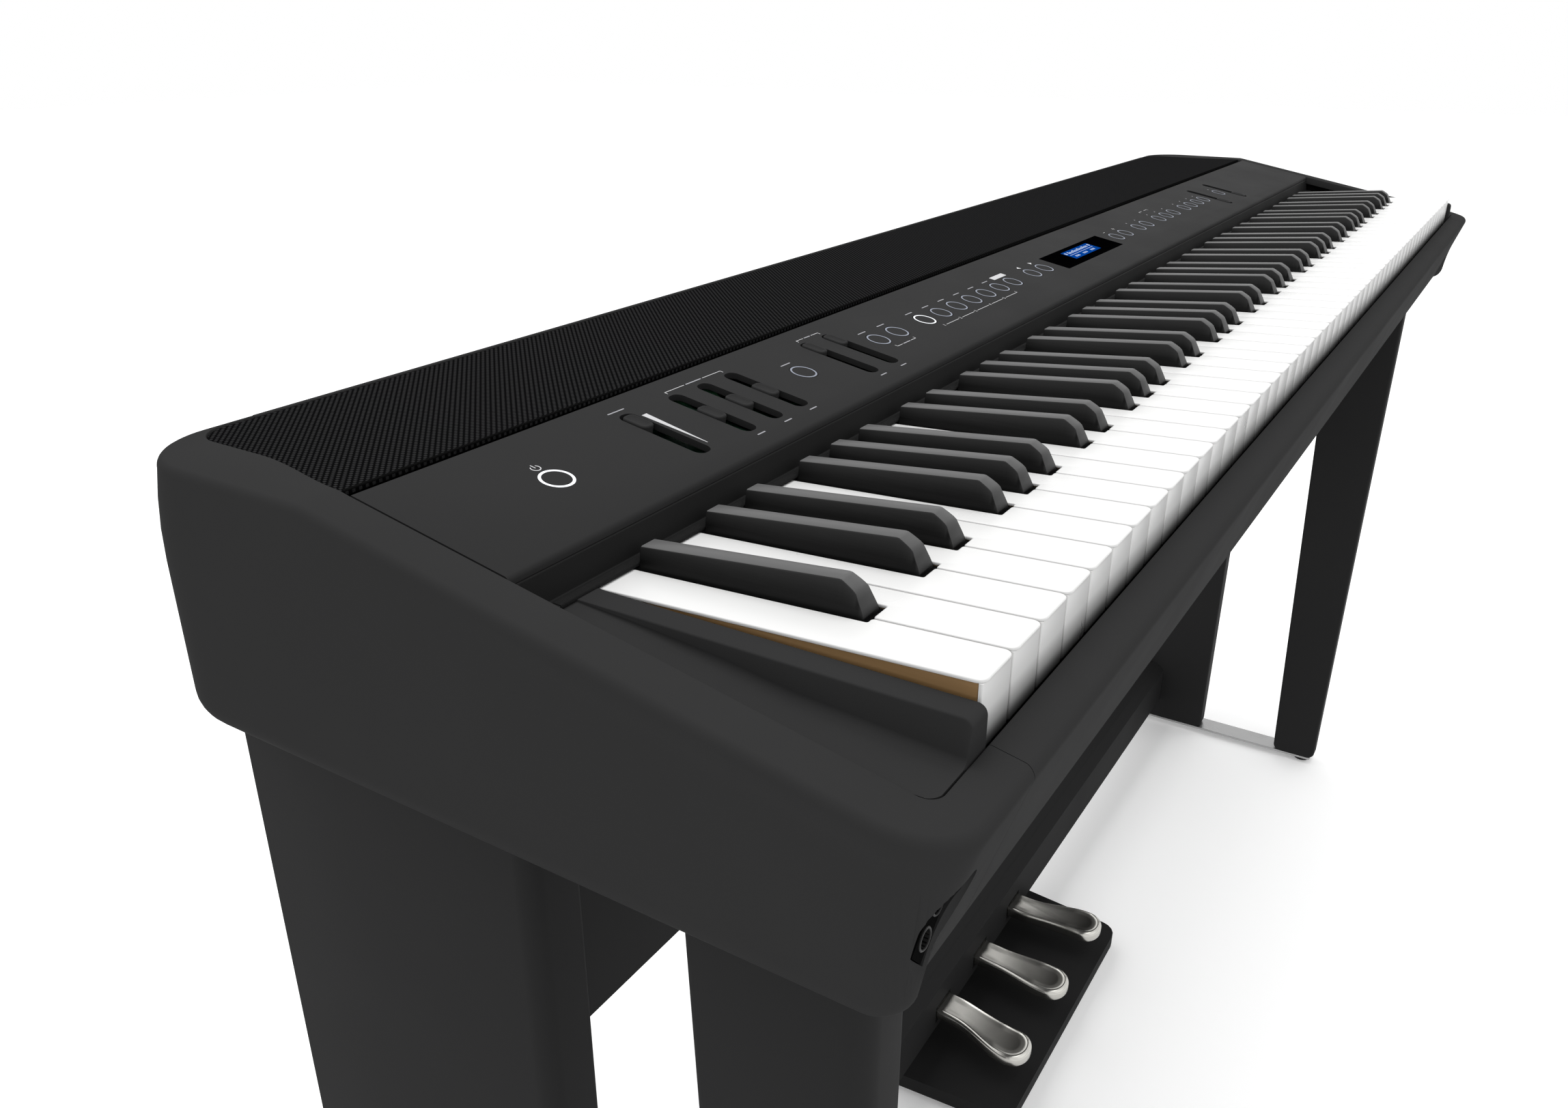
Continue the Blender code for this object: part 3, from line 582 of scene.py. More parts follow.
def circuit_look(name):
    look, tree, shader = graph_of(name)
    traces = noise(tree, 1.0, 1.0, stretch=(500.0, 90.0, 90.0))
    edges = spread(tree, traces, 0.0, 1.0, 0.48, 0.52)
    set_inputs(shader, Roughness=0.4,
               Base_Color=blend_colors(tree, edges, (0.008, 0.060, 0.028), (0.03, 0.14, 0.06)))
    bump(tree, shader, edges, 0.3, 0.0001)
    return look


LOOKS = {
    "shell": moulded_plastic("shell", (0.0250, 0.0250, 0.0252), (0.0284, 0.0284, 0.0286), 0.60,
                             shine=0.002),
    "panel": moulded_plastic("panel", (0.0198, 0.0198, 0.0200), (0.0224, 0.0224, 0.0226), 0.58,
                             3200.0, shine=0.02),
    "fallboard": moulded_plastic("fallboard", (0.010, 0.010, 0.010), (0.013, 0.013, 0.013), 0.55,
                                 shine=0.05),
    "dark": moulded_plastic("dark_plastic", (0.003, 0.003, 0.003), (0.005, 0.005, 0.005), 0.6,
                            shine=0.0),
    "board": painted_board("stand_paint", (0.0175, 0.0175, 0.0177), (0.0205, 0.0205, 0.0207), 0.58),
    "ivory": white_plastic("white_key_plastic"),
    "ebony": ebony_plastic("black_key_plastic"),
    "wood": key_wood("key_wood"),
    "felt": felt("dust_felt", (0.002, 0.002, 0.002), (0.009, 0.009, 0.009)),
    "grille": grille_cloth("grille_dots"),
    # the third colour is painted: the dark reflection on the pedal's dish
    "pedal": cast_metal("pedal_metal", (0.54, 0.53, 0.495), (0.60, 0.59, 0.555),
                        (0.10, 0.098, 0.09), 0.24),
    "steel": brushed_steel("bar_steel", (0.34, 0.34, 0.34), (0.44, 0.44, 0.44), 0.30),
    "inner": moulded_plastic("inner_steel", (0.012, 0.012, 0.012), (0.02, 0.02, 0.02), 0.45),
    "rubber": moulded_plastic("foot_rubber", (0.010, 0.010, 0.010), (0.018, 0.018, 0.018), 0.8),
    "print": plain_paint("printed_white", (0.46, 0.46, 0.47), 0.5),
    "faint": plain_paint("printed_grey", (0.24, 0.24, 0.26), 0.5),
    "lit": plain_paint("lit_ring", (0.75, 0.77, 0.80), 0.4, 0.3),
    "ring": plain_paint("button_ring", (0.18, 0.20, 0.25), 0.45),
    "window": moulded_plastic("window_black", (0.0003, 0.0003, 0.0004), (0.0006, 0.0006, 0.0007),
                              0.3, 600.0, 0.01, 0.0),
    "lcd": display_glow("display_blue"),
    "glyph": plain_paint("display_white", (0.28, 0.36, 0.50), 0.5, 0.15),
    "circuit": circuit_look("circuit_green"),
}


def repaint(node, look):
    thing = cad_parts[node]
    thing.data.materials.clear()
    thing.data.materials.append(LOOKS[look])
    return thing


# ---------------------------------------------------------------- case
def rim_inner_x(y):
    return RIM_INNER - 9.6 * smooth_step((y - PANEL_BACK_Y) / 62)


def cap_stations(corner_steps=14):
    """Plan stations of the right end cap: (outer point, inward normal, rim point, front share)."""
    front_x = CASE_HALF - FRONT_CORNER
    inner_corner = 6.0
    stations = [((CAP_SEAM, CASE_FRONT), (0, 1), (CAP_SEAM, RIM_FRONT_Y), 1.0),
                ((front_x, CASE_FRONT), (0, 1), (RIM_INNER - inner_corner, RIM_FRONT_Y), 1.0)]
    for turn in quarter_turns(corner_steps, 1):
        outward = (math.sin(turn), -math.cos(turn))
        outer = (front_x + FRONT_CORNER * outward[0], CASE_FRONT + FRONT_CORNER * (1 + outward[1]))
        inner = (RIM_INNER - inner_corner + inner_corner * outward[0],
                 RIM_FRONT_Y + inner_corner * (1 + outward[1]))
        stations.append((outer, (-outward[0], -outward[1]), inner, math.cos(turn) ** 2))
    side_ys = [40, 90, 150, PANEL_BACK_Y - 4, PANEL_BACK_Y]
    side_ys += [PANEL_BACK_Y + (GRILLE_SIDE_Y - PANEL_BACK_Y) * step / 14 for step in range(1, 15)]
    for y in side_ys:
        stations.append(((CASE_HALF, y), (-1, 0), (rim_inner_x(y), y), 0.0))
    rear_x = CASE_HALF - REAR_CORNER
    rear_y = CASE_BACK - REAR_CORNER
    inner_x = rim_inner_x(CASE_BACK)
    inner_y = GRILLE_BACK_Y + PLAY
    for turn in quarter_turns(corner_steps + 1):
        outward = (math.cos(turn), math.sin(turn))
        outer = (rear_x + REAR_CORNER * outward[0], rear_y + REAR_CORNER * outward[1])
        inner = (inner_x - GRILLE_CORNER * (1 - outward[0]),
                 inner_y - GRILLE_CORNER * (1 - outward[1]))
        stations.append((outer, (-outward[0], -outward[1]), inner, 0.0))
    end_x = HALF_KEYS - 3.0
    stations.append(((end_x, CASE_BACK), (0, -1), (end_x, inner_y), 0.0))
    return stations


def front_lean(z, rim):
    """How far the front wall stands back at height z, under a rim at height rim."""
    start = rim - 4
    return FRONT_LEAN * max(start - z, 0) / (start - CASE_BOTTOM)


def rim_follow(y, z, rim):
    """Rise of a point of the rim's rounded edge where the rim itself has risen behind it."""
    return rim_z(y) - rim if z > rim - RIM_EDGE - 0.1 else 0.0


def inner_lip(rim):
    """(step outwards, z) of the rounded inner edge of a rim at height rim."""
    return ((0.9, rim), (0.25, rim - 0.25), (0.0, rim - 0.9))


def wall_profile(rim, front, steps=8):
    """Outer wall as (depth, z) from the bottom lip up to the rim's top edge."""
    fillet = BOTTOM_FILLET * (1 - front) + 3.0 * front
    profile = [(BOTTOM_FILLET + 1, CASE_BOTTOM)]
    for turn in quarter_turns(steps):
        z = CASE_BOTTOM + fillet * (1 - math.cos(turn))
        profile.append((fillet * (1 - math.sin(turn)), z))
    shoulder = 7.0 * (1 - front) + 3.4 * front
    round_deep = 3.4
    start = shoulder - round_deep
    taper_z = min(-17.0, rim - 16)
    for share in (0.0, 0.35, 0.7):
        z = taper_z + (rim - RIM_EDGE - taper_z) * share
        profile.append((start * share * share, z))
    for turn in quarter_turns(6):
        depth = start + round_deep * (1 - math.cos(turn))
        profile.append((depth, rim - RIM_EDGE + RIM_EDGE * math.sin(turn)))
    return profile


def cap_ring(outer, normal, inner, front):
    """Section of the end cap at one station, from the bottom lip over the rim and back inside."""
    rim = rim_z(outer[1])
    thickness = math.dist(outer, inner)
    wall = min(WALL + 20 * front, thickness - 1.0)
    ring = []

    def add(depth, z):
        reach = depth + front * front_lean(z, rim)
        x = outer[0] + normal[0] * reach
        y = outer[1] + normal[1] * reach
        ring.append((x, y, z + (rim_follow(y, z, rim) if front > 0 else 0.0)))

    for depth, z in wall_profile(rim, front):
        add(depth, z)
    toward = Vector((outer[0] - inner[0], outer[1] - inner[1])).normalized()
    for step, z in inner_lip(rim_z(inner[1])):
        ring.append((inner[0] + toward.x * step, inner[1] + toward.y * step, z))
    ring.append((inner[0], inner[1], rim - 7))
    for depth, z in ((wall, rim - 9), (wall, CASE_BOTTOM + 6), (BOTTOM_FILLET + 1, CASE_BOTTOM + 4)):
        add(depth, z)
    return ring


def recess_place(y):
    """Frame of the headphone recess, x along the row of jacks, at depth y."""
    return Matrix.Translation(at(-HALF_KEYS - 37.5, y, -58.5)) @ Matrix.Rotation(RECESS_TILT, 4, "Y")


def scaled(size):
    return Matrix.Diagonal((*(length * MM for length in size), 1))


def recess_cutter():
    build = bmesh.new()
    shift = Matrix.Translation(Vector(SCOOP_SHIFT) * MM)
    bmesh.ops.create_uvsphere(build, u_segments=64, v_segments=48, radius=1.0,
                              matrix=shift @ recess_place(-10.2) @ scaled(SCOOP_RADII))
    return piece("scoop_cutter", [build], LOOKS["dark"], body=None)


def recess_pocket():
    build = bmesh.new()
    bmesh.ops.create_cube(build, size=1.0, matrix=recess_place(-2.75) @ scaled(POCKET_SIZE))
    return piece("pocket_cutter", [build], LOOKS["dark"], body=None)


def make_end_cap(name, side):
    rings = [[at(side * x, y, z) for x, y, z in cap_ring(*station)] for station in cap_stations()]
    cap = piece(name + "_shell", [skin(rings)], LOOKS["shell"])
    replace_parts(cap, name)
    if side < 0:
        cut(cap, recess_cutter())
        cut(cap, recess_pocket())


def make_front_rail():
    """Rail in front of the keys, with the same front wall as the end caps."""
    rim = rim_z(CASE_FRONT)
    profile = []
    for depth, z in wall_profile(rim, 1.0):
        y = CASE_FRONT + depth + front_lean(z, rim)
        profile.append((y, z + rim_follow(y, z, rim)))
    profile += [(RIM_FRONT_Y - step, z) for step, z in inner_lip(rim_z(RIM_FRONT_Y))]
    profile += [(RIM_FRONT_Y, -34), (CASE_FRONT + 9, -34), (CASE_FRONT + 24, CASE_BOTTOM + 4),
                (CASE_FRONT + 36, CASE_BOTTOM + 4), (CASE_FRONT + 36, CASE_BOTTOM)]
    seam = HALF_KEYS - 0.15
    rail = piece("front_rail_shell", [prism_x(profile, -seam, seam)], LOOKS["shell"])
    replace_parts(rail, "front_rail")


def make_case():
    for name, side in (("left", -1), ("right", 1)):
        make_end_cap("end_cap_" + name, side)
    make_front_rail()
    for name, side in (("left", -1), ("right", 1)):
        make_cheek("cheek_" + name, side)
    round_edges(repaint("rear_panel", "shell"), 0.8, 3, weld=True)
    round_edges(repaint("bottom_chassis", "inner"), 0.6, 2, weld=True)
    round_edges(repaint("fallboard", "fallboard"), 0.5, 2, weld=True)
    strip = rounded_box(145.8, 149.9, -6.5, -4.9, 0.6, 4)
    piece("dust_felt", [prism_x(strip, -HALF_KEYS - 20, HALF_KEYS + 20)], LOOKS["felt"])
    repaint("key_frame", "inner")
    repaint("circuit_board", "circuit")
    make_grille()


CHANNEL_FLOOR = ((-1.9, -20.2), (3.0, -19.9), (30, -18.2), (58, -16.5), (84, -13.2), (120, -9.0),
                 (151, -6.4))


def channel_floor(y):
    """Height of the sunken channel's floor between the cheek and the rim."""
    for (y0, z0), (y1, z1) in zip(CHANNEL_FLOOR, CHANNEL_FLOOR[1:]):
        if y <= y1:
            return z0 + (z1 - z0) * (y - y0) / (y1 - y0)
    return CHANNEL_FLOOR[-1][1]


def make_cheek(name, side):
    """Block beside the end key that flares into the sunken channel next to the rim."""
    inner = HALF_KEYS + 1.0
    outer = RIM_INNER - PLAY
    block_width = 11.0
    front_y = CHANNEL_FLOOR[0][0]
    corner_y = CASE_FRONT + 21.2
    corner_radius = 5.7
    round_front = 3.2
    ys = [front_y + round_front * (1 - math.cos(turn)) for turn in quarter_turns(8)]
    ys += [2.7 + (150.8 - 2.7) * step / 30 for step in range(1, 31)]
    rings = []
    for y in ys:
        floor = channel_floor(y)
        dip = max(round_front - (y - front_y), 0)
        top = -6.0 - round_front + math.sqrt(max(round_front ** 2 - dip ** 2, 0))
        height = max(top - floor, 0.12)
        top = floor + height
        edge = min(0.9, height * 0.3)
        fillet = min(3.6, height * 0.5)
        depth = min(max(corner_y - y, 0), corner_radius - 0.01)
        rim_side = outer - corner_radius + math.sqrt(corner_radius ** 2 - depth ** 2)
        section = [(inner, -26), (inner, top - edge), (inner + edge * 0.3, top - edge * 0.3),
                   (inner + edge, top), (inner + block_width - edge, top)]
        section += [(inner + block_width - edge + edge * math.sin(turn),
                     top - edge + edge * math.cos(turn)) for turn in quarter_turns(4, 1)]
        wall = inner + block_width + 2.6 * min(height / 13.7, 1.0)
        section += [(wall + fillet * (1 - math.cos(turn)), floor + fillet * (1 - math.sin(turn)))
                    for turn in quarter_turns(8)]
        section += [(rim_side, floor), (rim_side, floor - 4), (inner + 8, floor - 4), (inner + 5, -26)]
        rings.append([at(side * x, y, z) for x, z in section])
    shell = piece(name + "_shell", [skin(rings)], LOOKS["shell"], crease=50)
    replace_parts(shell, name)


def make_grille():
    """Speaker grille with rounded rear corners, its front lip and the groove before it."""
    edge = []
    for step in range(24):
        y = GRILLE_FRONT_Y + (GRILLE_SIDE_Y - GRILLE_FRONT_Y) * step / 23
        edge.append((rim_inner_x(y) - PLAY, y))
    inner_x = rim_inner_x(CASE_BACK) - PLAY
    edge += [(inner_x - GRILLE_CORNER * (1 - math.cos(turn)),
              GRILLE_BACK_Y - GRILLE_CORNER * (1 - math.sin(turn))) for turn in quarter_turns(12, 1)]
    outline = edge + [(-x, y) for x, y in reversed(edge)]
    panel = piece("grille_panel", [prism_z(outline, GRILLE_Z - 2.2, GRILLE_Z)], LOOKS["grille"],
                  bevel=0.5)
    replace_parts(panel, "speaker_grille")
    lip = rounded_box(GRILLE_FRONT_Y, GRILLE_FRONT_Y + 1.5, GRILLE_Z - 2.0, GRILLE_Z + 0.12, 0.3, 3)
    reach = rim_inner_x(GRILLE_FRONT_Y) - 1.0
    piece("grille_front_lip", [prism_x(lip, -reach, reach)], LOOKS["dark"])
    front, back = PANEL_BACK_Y + 0.1, GRILLE_FRONT_Y - 0.1
    groove = [(front, 20.6), (back, 20.6), (back, 17.4), (front, 17.4)]
    piece("panel_groove", [prism_x(groove, -reach, reach)], LOOKS["dark"])


# ---------------------------------------------------------------- control panel
def slot_outline(x, grow=0.0):
    reach = SLOT_HALF_WIDTH + grow
    return rounded_box(x - reach, x + reach, SLOT_FRONT_Y - grow, SLOT_BACK_Y + grow, 4.0 + grow, 8)


def make_panel():
    """Control panel with its holes, then the controls, the display and the printing."""
    reach = RIM_INNER - PLAY
    under = PANEL_THICK / math.cos(PANEL_TILT)
    profile = [(PANEL_FRONT_Y, PANEL_FRONT_Z - 1.6), (PANEL_FRONT_Y + 0.45, PANEL_FRONT_Z - 0.4),
               (PANEL_FRONT_Y + 1.5, panel_z(PANEL_FRONT_Y + 1.5)),
               (PANEL_BACK_Y - 0.8, panel_z(PANEL_BACK_Y - 0.8)),
               (PANEL_BACK_Y, panel_z(PANEL_BACK_Y) - 0.7),
               (PANEL_BACK_Y, panel_z(PANEL_BACK_Y) - under), (PANEL_FRONT_Y, PANEL_FRONT_Z - under)]
    panel = piece("panel_skin", [prism_x(profile, -reach, reach)], LOOKS["panel"])
    outlines = [slot_outline(from_left(x)) for x, _ in SLIDERS.values()]
    outlines += [circle(from_left(x), BUTTON_Y, HOLE_RADIUS, 64)
                 for places in BUTTON_GROUPS.values() for x in places]
    outlines.append(rounded_box(*map(from_left, DISPLAY_X), *DISPLAY_Y, 0.6, 3))
    holes = [panel_prism(outline, -8, 6) for outline in outlines]
    cut(panel, piece("panel_cutter", holes, LOOKS["panel"], body=None))
    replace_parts(panel, "control_panel")

    for name, (x, y) in SLIDERS.items():
        make_slider(name, from_left(x), y)
    for name, places in BUTTON_GROUPS.items():
        make_buttons(name, [from_left(x) for x in places])
    make_display()
    make_printing()


def make_slider(name, x, y):
    """Slider knob with a dished top, over a dark well under its slot."""
    piece(name + "_well", [panel_prism(slot_outline(x, 1.2), -8.4, -7.2)], LOOKS["dark"])
    half_x, half_y = KNOB_HALF
    rings = []
    for height, inset in ((-6.4, 0.0), (-0.2, 0.0), (0.25, 0.12), (0.52, 0.45), (0.6, 0.95),
                          (0.35, 1.5), (0.05, 2.3)):
        corner = KNOB_CORNER - inset * (1.0 if inset < 1 else 0.9)
        outline = rounded_box(x - half_x + inset, x + half_x - inset, y - half_y + inset,
                              y + half_y - inset, corner, 8)
        rings.append([on_panel(px, py, height) for px, py in outline])
    knob = piece(name + "_knob", [skin(rings)], LOOKS["panel"], body=name, crease=60)
    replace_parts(knob, name)


def make_buttons(name, places):
    """Touch buttons: a flat disc in the panel's colour with a pale ring round its edge."""
    outer, width = POWER_RING if name == "power_button" else (RING_OUTER, RING_WIDTH)
    disc = HOLE_RADIUS - 0.1
    profile = [(0, -6), (disc, -6), (disc, -0.05), (disc - 0.05, 0.0), (0, 0.0)]
    tilt = Matrix.Rotation(PANEL_TILT, 4, "X")
    discs = [lathe(profile, Matrix.Translation(on_panel(x, BUTTON_Y, 0)) @ tilt, 64) for x in places]
    rings = [annulus(x, BUTTON_Y, outer, outer - width, -0.4, 0.05) for x in places]
    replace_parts(piece(name + "_discs", discs, LOOKS["panel"], body=name), name)
    if name in ("power_button", "tone_buttons"):
        piece(name + "_lit_ring", [rings.pop(0)], LOOKS["lit"], body=name)
    if rings:
        piece(name + "_rings", rings, LOOKS["ring"], body=name)


def make_display():
    """Display with generic marks: end squares, bars of a name, a rule and three values."""
    repaint("display_window", "window")
    screen = rounded_box(*map(from_left, LCD_X), *LCD_Y, 0.4, 3)
    piece("display_screen", [panel_prism(screen, -0.2, 0.06)], LOOKS["lcd"])
    start = from_left(LCD_X[0])
    width = LCD_X[1] - LCD_X[0]
    boxes = [(0.03, 0.075, 193.4, 196.2), (0.925, 0.97, 193.4, 196.2), (0.05, 0.95, 191.1, 191.5)]
    boxes += [(0.14 + 0.062 * step, 0.175 + 0.062 * step, 193.2, 195.4 + 0.9 * (step % 3 == 0))
              for step in range(12)]
    boxes += [(0.12 + 0.30 * group + 0.055 * step, 0.15 + 0.30 * group + 0.055 * step, 187.2, 189.2)
              for group in range(3) for step in range(3)]
    marks = [panel_prism(rounded_box(start + width * near, start + width * far, low, high, 0.15, 2),
                         0.06, 0.12) for near, far, low, high in boxes]
    piece("display_marks", marks, LOOKS["glyph"])


def printed(outline):
    return panel_prism(outline, PRINT_LOW, PRINT_HIGH)


def line(x0, y0, x1, y1, width=0.35):
    """Printed line on the panel between two points."""
    along = Vector((x1 - x0, y1 - y0)).normalized()
    side = Vector((-along.y, along.x)) * width / 2
    return printed([(x0 + side.x, y0 + side.y), (x0 - side.x, y0 - side.y),
                    (x1 - side.x, y1 - side.y), (x1 + side.x, y1 + side.y)])


def arc_strip(x, y, radius, start, end, width=0.45, steps=24):
    turns = [start + (end - start) * step / steps for step in range(steps + 1)]
    outer, inner = ([(x + edge * math.cos(turn), y + edge * math.sin(turn)) for turn in turns]
                    for edge in (radius + width / 2, radius - width / 2))
    return printed(outer + inner[::-1])


def bracket(x0, x1, y, drop, gap):
    """Bracket over or under a group: two arms with a drop at the end and a gap between them."""
    x0, x1 = from_left(x0), from_left(x1)
    middle = (x0 + x1) / 2
    return [line(x0, y, middle - gap / 2, y), line(middle + gap / 2, y, x1, y),
            line(x0, y, x0, y + drop), line(x1, y, x1, y + drop)]


def dash(x, y, reach, half_height=0.35):
    """Short bar that stands in for a word, centred on x as measured from the left."""
    middle = from_left(x)
    return printed(rounded_box(middle - reach, middle + reach, y - half_height, y + half_height,
                               0.3, 2))


def digit(text, x, y, size, look):
    """A number from 1 to 5, as a thin mesh on the panel."""
    curve = bpy.data.curves.new("digit_" + text, "FONT")
    curve.body = text
    curve.size = size * MM
    curve.align_x = "CENTER"
    curve.align_y = "CENTER"
    curve.extrude = 0.00005
    holder = bpy.data.objects.new("digit_holder", curve)
    bpy.context.scene.collection.objects.link(holder)
    graph = bpy.context.evaluated_depsgraph_get()
    mesh = bpy.data.meshes.new_from_object(holder.evaluated_get(graph))
    bpy.data.objects.remove(holder, do_unlink=True)
    mesh.transform(Matrix.Translation(on_panel(x, y, 0.05)) @ Matrix.Rotation(PANEL_TILT, 4, "X"))
    mesh.materials.clear()
    mesh.materials.append(look)
    thing = bpy.data.objects.new("number_" + text, mesh)
    bpy.context.scene.collection.objects.link(thing)
    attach(thing, ROOT)


def panel_marks():
    """Power symbol, brackets, the numbered rule, the two arrows and the minus and plus signs."""
    power_x = from_left(BUTTON_GROUPS["power_button"][0])
    marks = [arc_strip(power_x, SYMBOL_Y, 2.0, math.radians(130), math.radians(410)),
             line(power_x, SYMBOL_Y, power_x, SYMBOL_Y + 2.8, 0.45)]
    marks += bracket(131.0, 174.8, BRACKET_Y, -1.8, 14.5)
    marks += bracket(244.4, 266.3, BRACKET_Y, -1.8, 8.0)
    marks += bracket(289.0, 310.6, 178.8, 1.8, 10.0)
    for step in range(5):
        begin = from_left(NUMBER_X + TONE_PITCH * step + 2.6)
        end = from_left(NUMBER_X + TONE_PITCH * (step + 1) - (2.2 if step < 4 else 0.8))
        marks.append(line(begin, NUMBER_Y, end, NUMBER_Y))
    marks.append(line(end, NUMBER_Y - 0.17, end, NUMBER_Y + 2.0))
    for x, side in zip(BUTTON_GROUPS["arrow_buttons"], (-1, 1)):
        centre = from_left(x)
        marks.append(printed([(centre - 1.6 * side, SYMBOL_Y - 1.7), (centre + 1.9 * side, SYMBOL_Y),
                              (centre - 1.6 * side, SYMBOL_Y + 1.7)]))
    minus_x, plus_x = map(from_left, BUTTON_GROUPS["value_buttons"])
    for x in (minus_x, plus_x):
        marks.append(line(x - 1.6, SYMBOL_Y, x + 1.6, SYMBOL_Y, 0.45))
    marks.append(line(plus_x, SYMBOL_Y - 1.6, plus_x, SYMBOL_Y + 1.6, 0.45))
    return marks + bracket(805.8, 827.9, 208.6, -1.6, 6.0)


def make_printing():
    """Plain lines, symbols and numbers round the controls; no words."""
    piece("panel_marks", panel_marks(), LOOKS["print"])
    volume_x = from_left(SLIDERS["volume_slider"][0])
    wedge = [(volume_x + 6.3, 206.9), (volume_x + 7.4, 173.0), (volume_x + 7.7, 173.0),
             (volume_x + 9.6, 206.9)]
    piece("volume_wedge", [printed(wedge)], LOOKS["print"])
    tag = rounded_box(from_left(467.0), from_left(486.7), 199.2, 203.4, 0.5, 3)
    piece("tone_row_tag", [printed(tag)], LOOKS["print"])
    for index in range(5):
        digit(str(index + 1), from_left(NUMBER_X + TONE_PITCH * index), NUMBER_Y, 3.2, LOOKS["print"])
    dots = [printed(circle(from_left(x), SYMBOL_Y, 0.7, 16))
            for x in BUTTON_GROUPS["function_buttons"] + BUTTON_GROUPS["record_button"]]
    for x in (210.4, 289.0, 310.6, 345.6, 367.3, 389.0, 411.0, 432.9, 455.0):
        dots.append(dash(x, 201.25, 4.2))
    for x, reach in ((96.4, 5.5), (152.9, 6.0), (255.3, 3.0), (299.8, 4.0)):
        dots.append(dash(x, 178.8 if x > 290 else BRACKET_Y, reach))
    for x in (131.0, 152.9, 174.8, 244.4, 266.3):
        dots.append(dash(x, 163.55, 3.0))
    piece("label_dashes", dots, LOOKS["faint"])


# ---------------------------------------------------------------- keys
def octave_start(octave):
    return 2 * WHITE_PITCH + OCTAVE * (octave - 1)


def white_outline(x0, x1, tail0, tail1, front, inset=0.0):
    """Plan of a white key; tail0 and tail1 are the tail's edges, equal to x0 or x1 if straight."""
    corner = 3.2 if front < 1 else 0.5
    notch_y = NOTCH_Y - inset
    corners = [(x0 + inset, front + inset, corner), (x1 - inset, front + inset, corner)]
    if tail1 < x1 - 0.1:
        corners += [(x1 - inset, notch_y, 0.9), (tail1 - inset, notch_y, 0.9)]
    corners += [(tail1 - inset, KEY_LENGTH - 0.3, 0), (tail0 + inset, KEY_LENGTH - 0.3, 0)]
    if tail0 > x0 + 0.1:
        corners += [(tail0 + inset, notch_y, 0.9), (x0 + inset, notch_y, 0.9)]
    return rounded(corners)


def white_key(name, left, notch_left, notch_right, body):
    """White key: a plastic top with a rounded lip over a wooden body; returns the plastic."""
    x0 = from_left(left + KEY_GAP)
    x1 = from_left(left + WHITE_PITCH - KEY_GAP)
    tail0 = x0 if notch_left is None else from_left(notch_left)
    tail1 = x1 if notch_right is None else from_left(notch_right)
    rings = []
    for inset, drop in ((0.5, LIP), (0.08, LIP - 0.08), (0.0, LIP - 0.25), (0.0, 0.5), (0.1, 0.2),
                        (0.3, 0.03), (0.6, 0.0)):
        outline = white_outline(x0, x1, tail0, tail1, 0.3, inset)
        rings.append([at(x, y, key_top(y) - drop) for x, y in outline])
    front = rounded([(x0 + 0.1, 1.0, 0.7), (x1 - 0.1, 1.0, 0.7), (x1 - 0.1, 2.3, 0),
                     (x0 + 0.1, 2.3, 0)], 4)
    face = prism_z(front, FRONT_FACE_BOTTOM, -LIP - 0.05)
    core_outline = white_outline(x0 + 0.3, x1 - 0.3, tail0 + (0.5 if tail0 > x0 else 0.3),
                                 tail1 - (0.5 if tail1 < x1 else 0.3), 2.35)
    core = skin([[at(x, y, KEY_BOTTOM_Z) for x, y in core_outline],
                 [at(x, y, key_top(y) - LIP) for x, y in core_outline]])
    plastic = piece(name, [skin(rings), face], LOOKS["ivory"], body=body, crease=60)
    piece(name + "_wood", [core], LOOKS["wood"], body=body)
    return plastic


def black_key_side():
    """(y, top, bottom) of a black key: curved toe, falling top, low tail under the panel."""
    toe_y, toe_z = 55.8, 5.1
    stations = [(52.2, -2.6), (53.4, 0.1), (54.7, 2.8), (toe_y, toe_z)]
    stations += [(toe_y + 6.6 * math.sin(turn) ** 1.25 * 0.92, toe_z + 3.95 * math.sin(turn))
                 for turn in quarter_turns(6, 1)[:-1]]
    stations.append((BLACK_SHOULDER_Y, BLACK_SHOULDER_Z))
    for step in range(1, 9):
        share = step / 8
        stations.append((BLACK_SHOULDER_Y + (BLACK_BACK_Y - BLACK_SHOULDER_Y) * share,
                         BLACK_SHOULDER_Z + (1.5 - BLACK_SHOULDER_Z) * share))
    stations += [(BLACK_BACK_Y + 0.25, 0.9), (BLACK_BACK_Y + 0.4, BLACK_TAIL_Z), (207.0, BLACK_TAIL_Z)]
    side = [(y, top, KEY_BOTTOM_Z) for y, top in stations]
    return side + [(207.6, BLACK_TAIL_Z, -24.0), (214.0, BLACK_TAIL_Z, -24.0)]


def black_section(y, top, low):
    """Right half of a black key's section, as (x, z) from the bottom up to the chamfered top."""
    full = min(max((top - key_top(y)) / 12.0, 0.0), 1.0)
    half_top = 5.35 - 1.45 * full
    shoulder = min(key_top(y) - 0.4, top - 0.6)
    chamfer = 0.15 + 0.75 * full
    return [(5.3, low), (5.5, low + 0.4), (5.5, shoulder), (half_top, top - chamfer),
            (half_top - chamfer * 0.3, top - chamfer * 0.35), (half_top - chamfer * 0.95, top)]


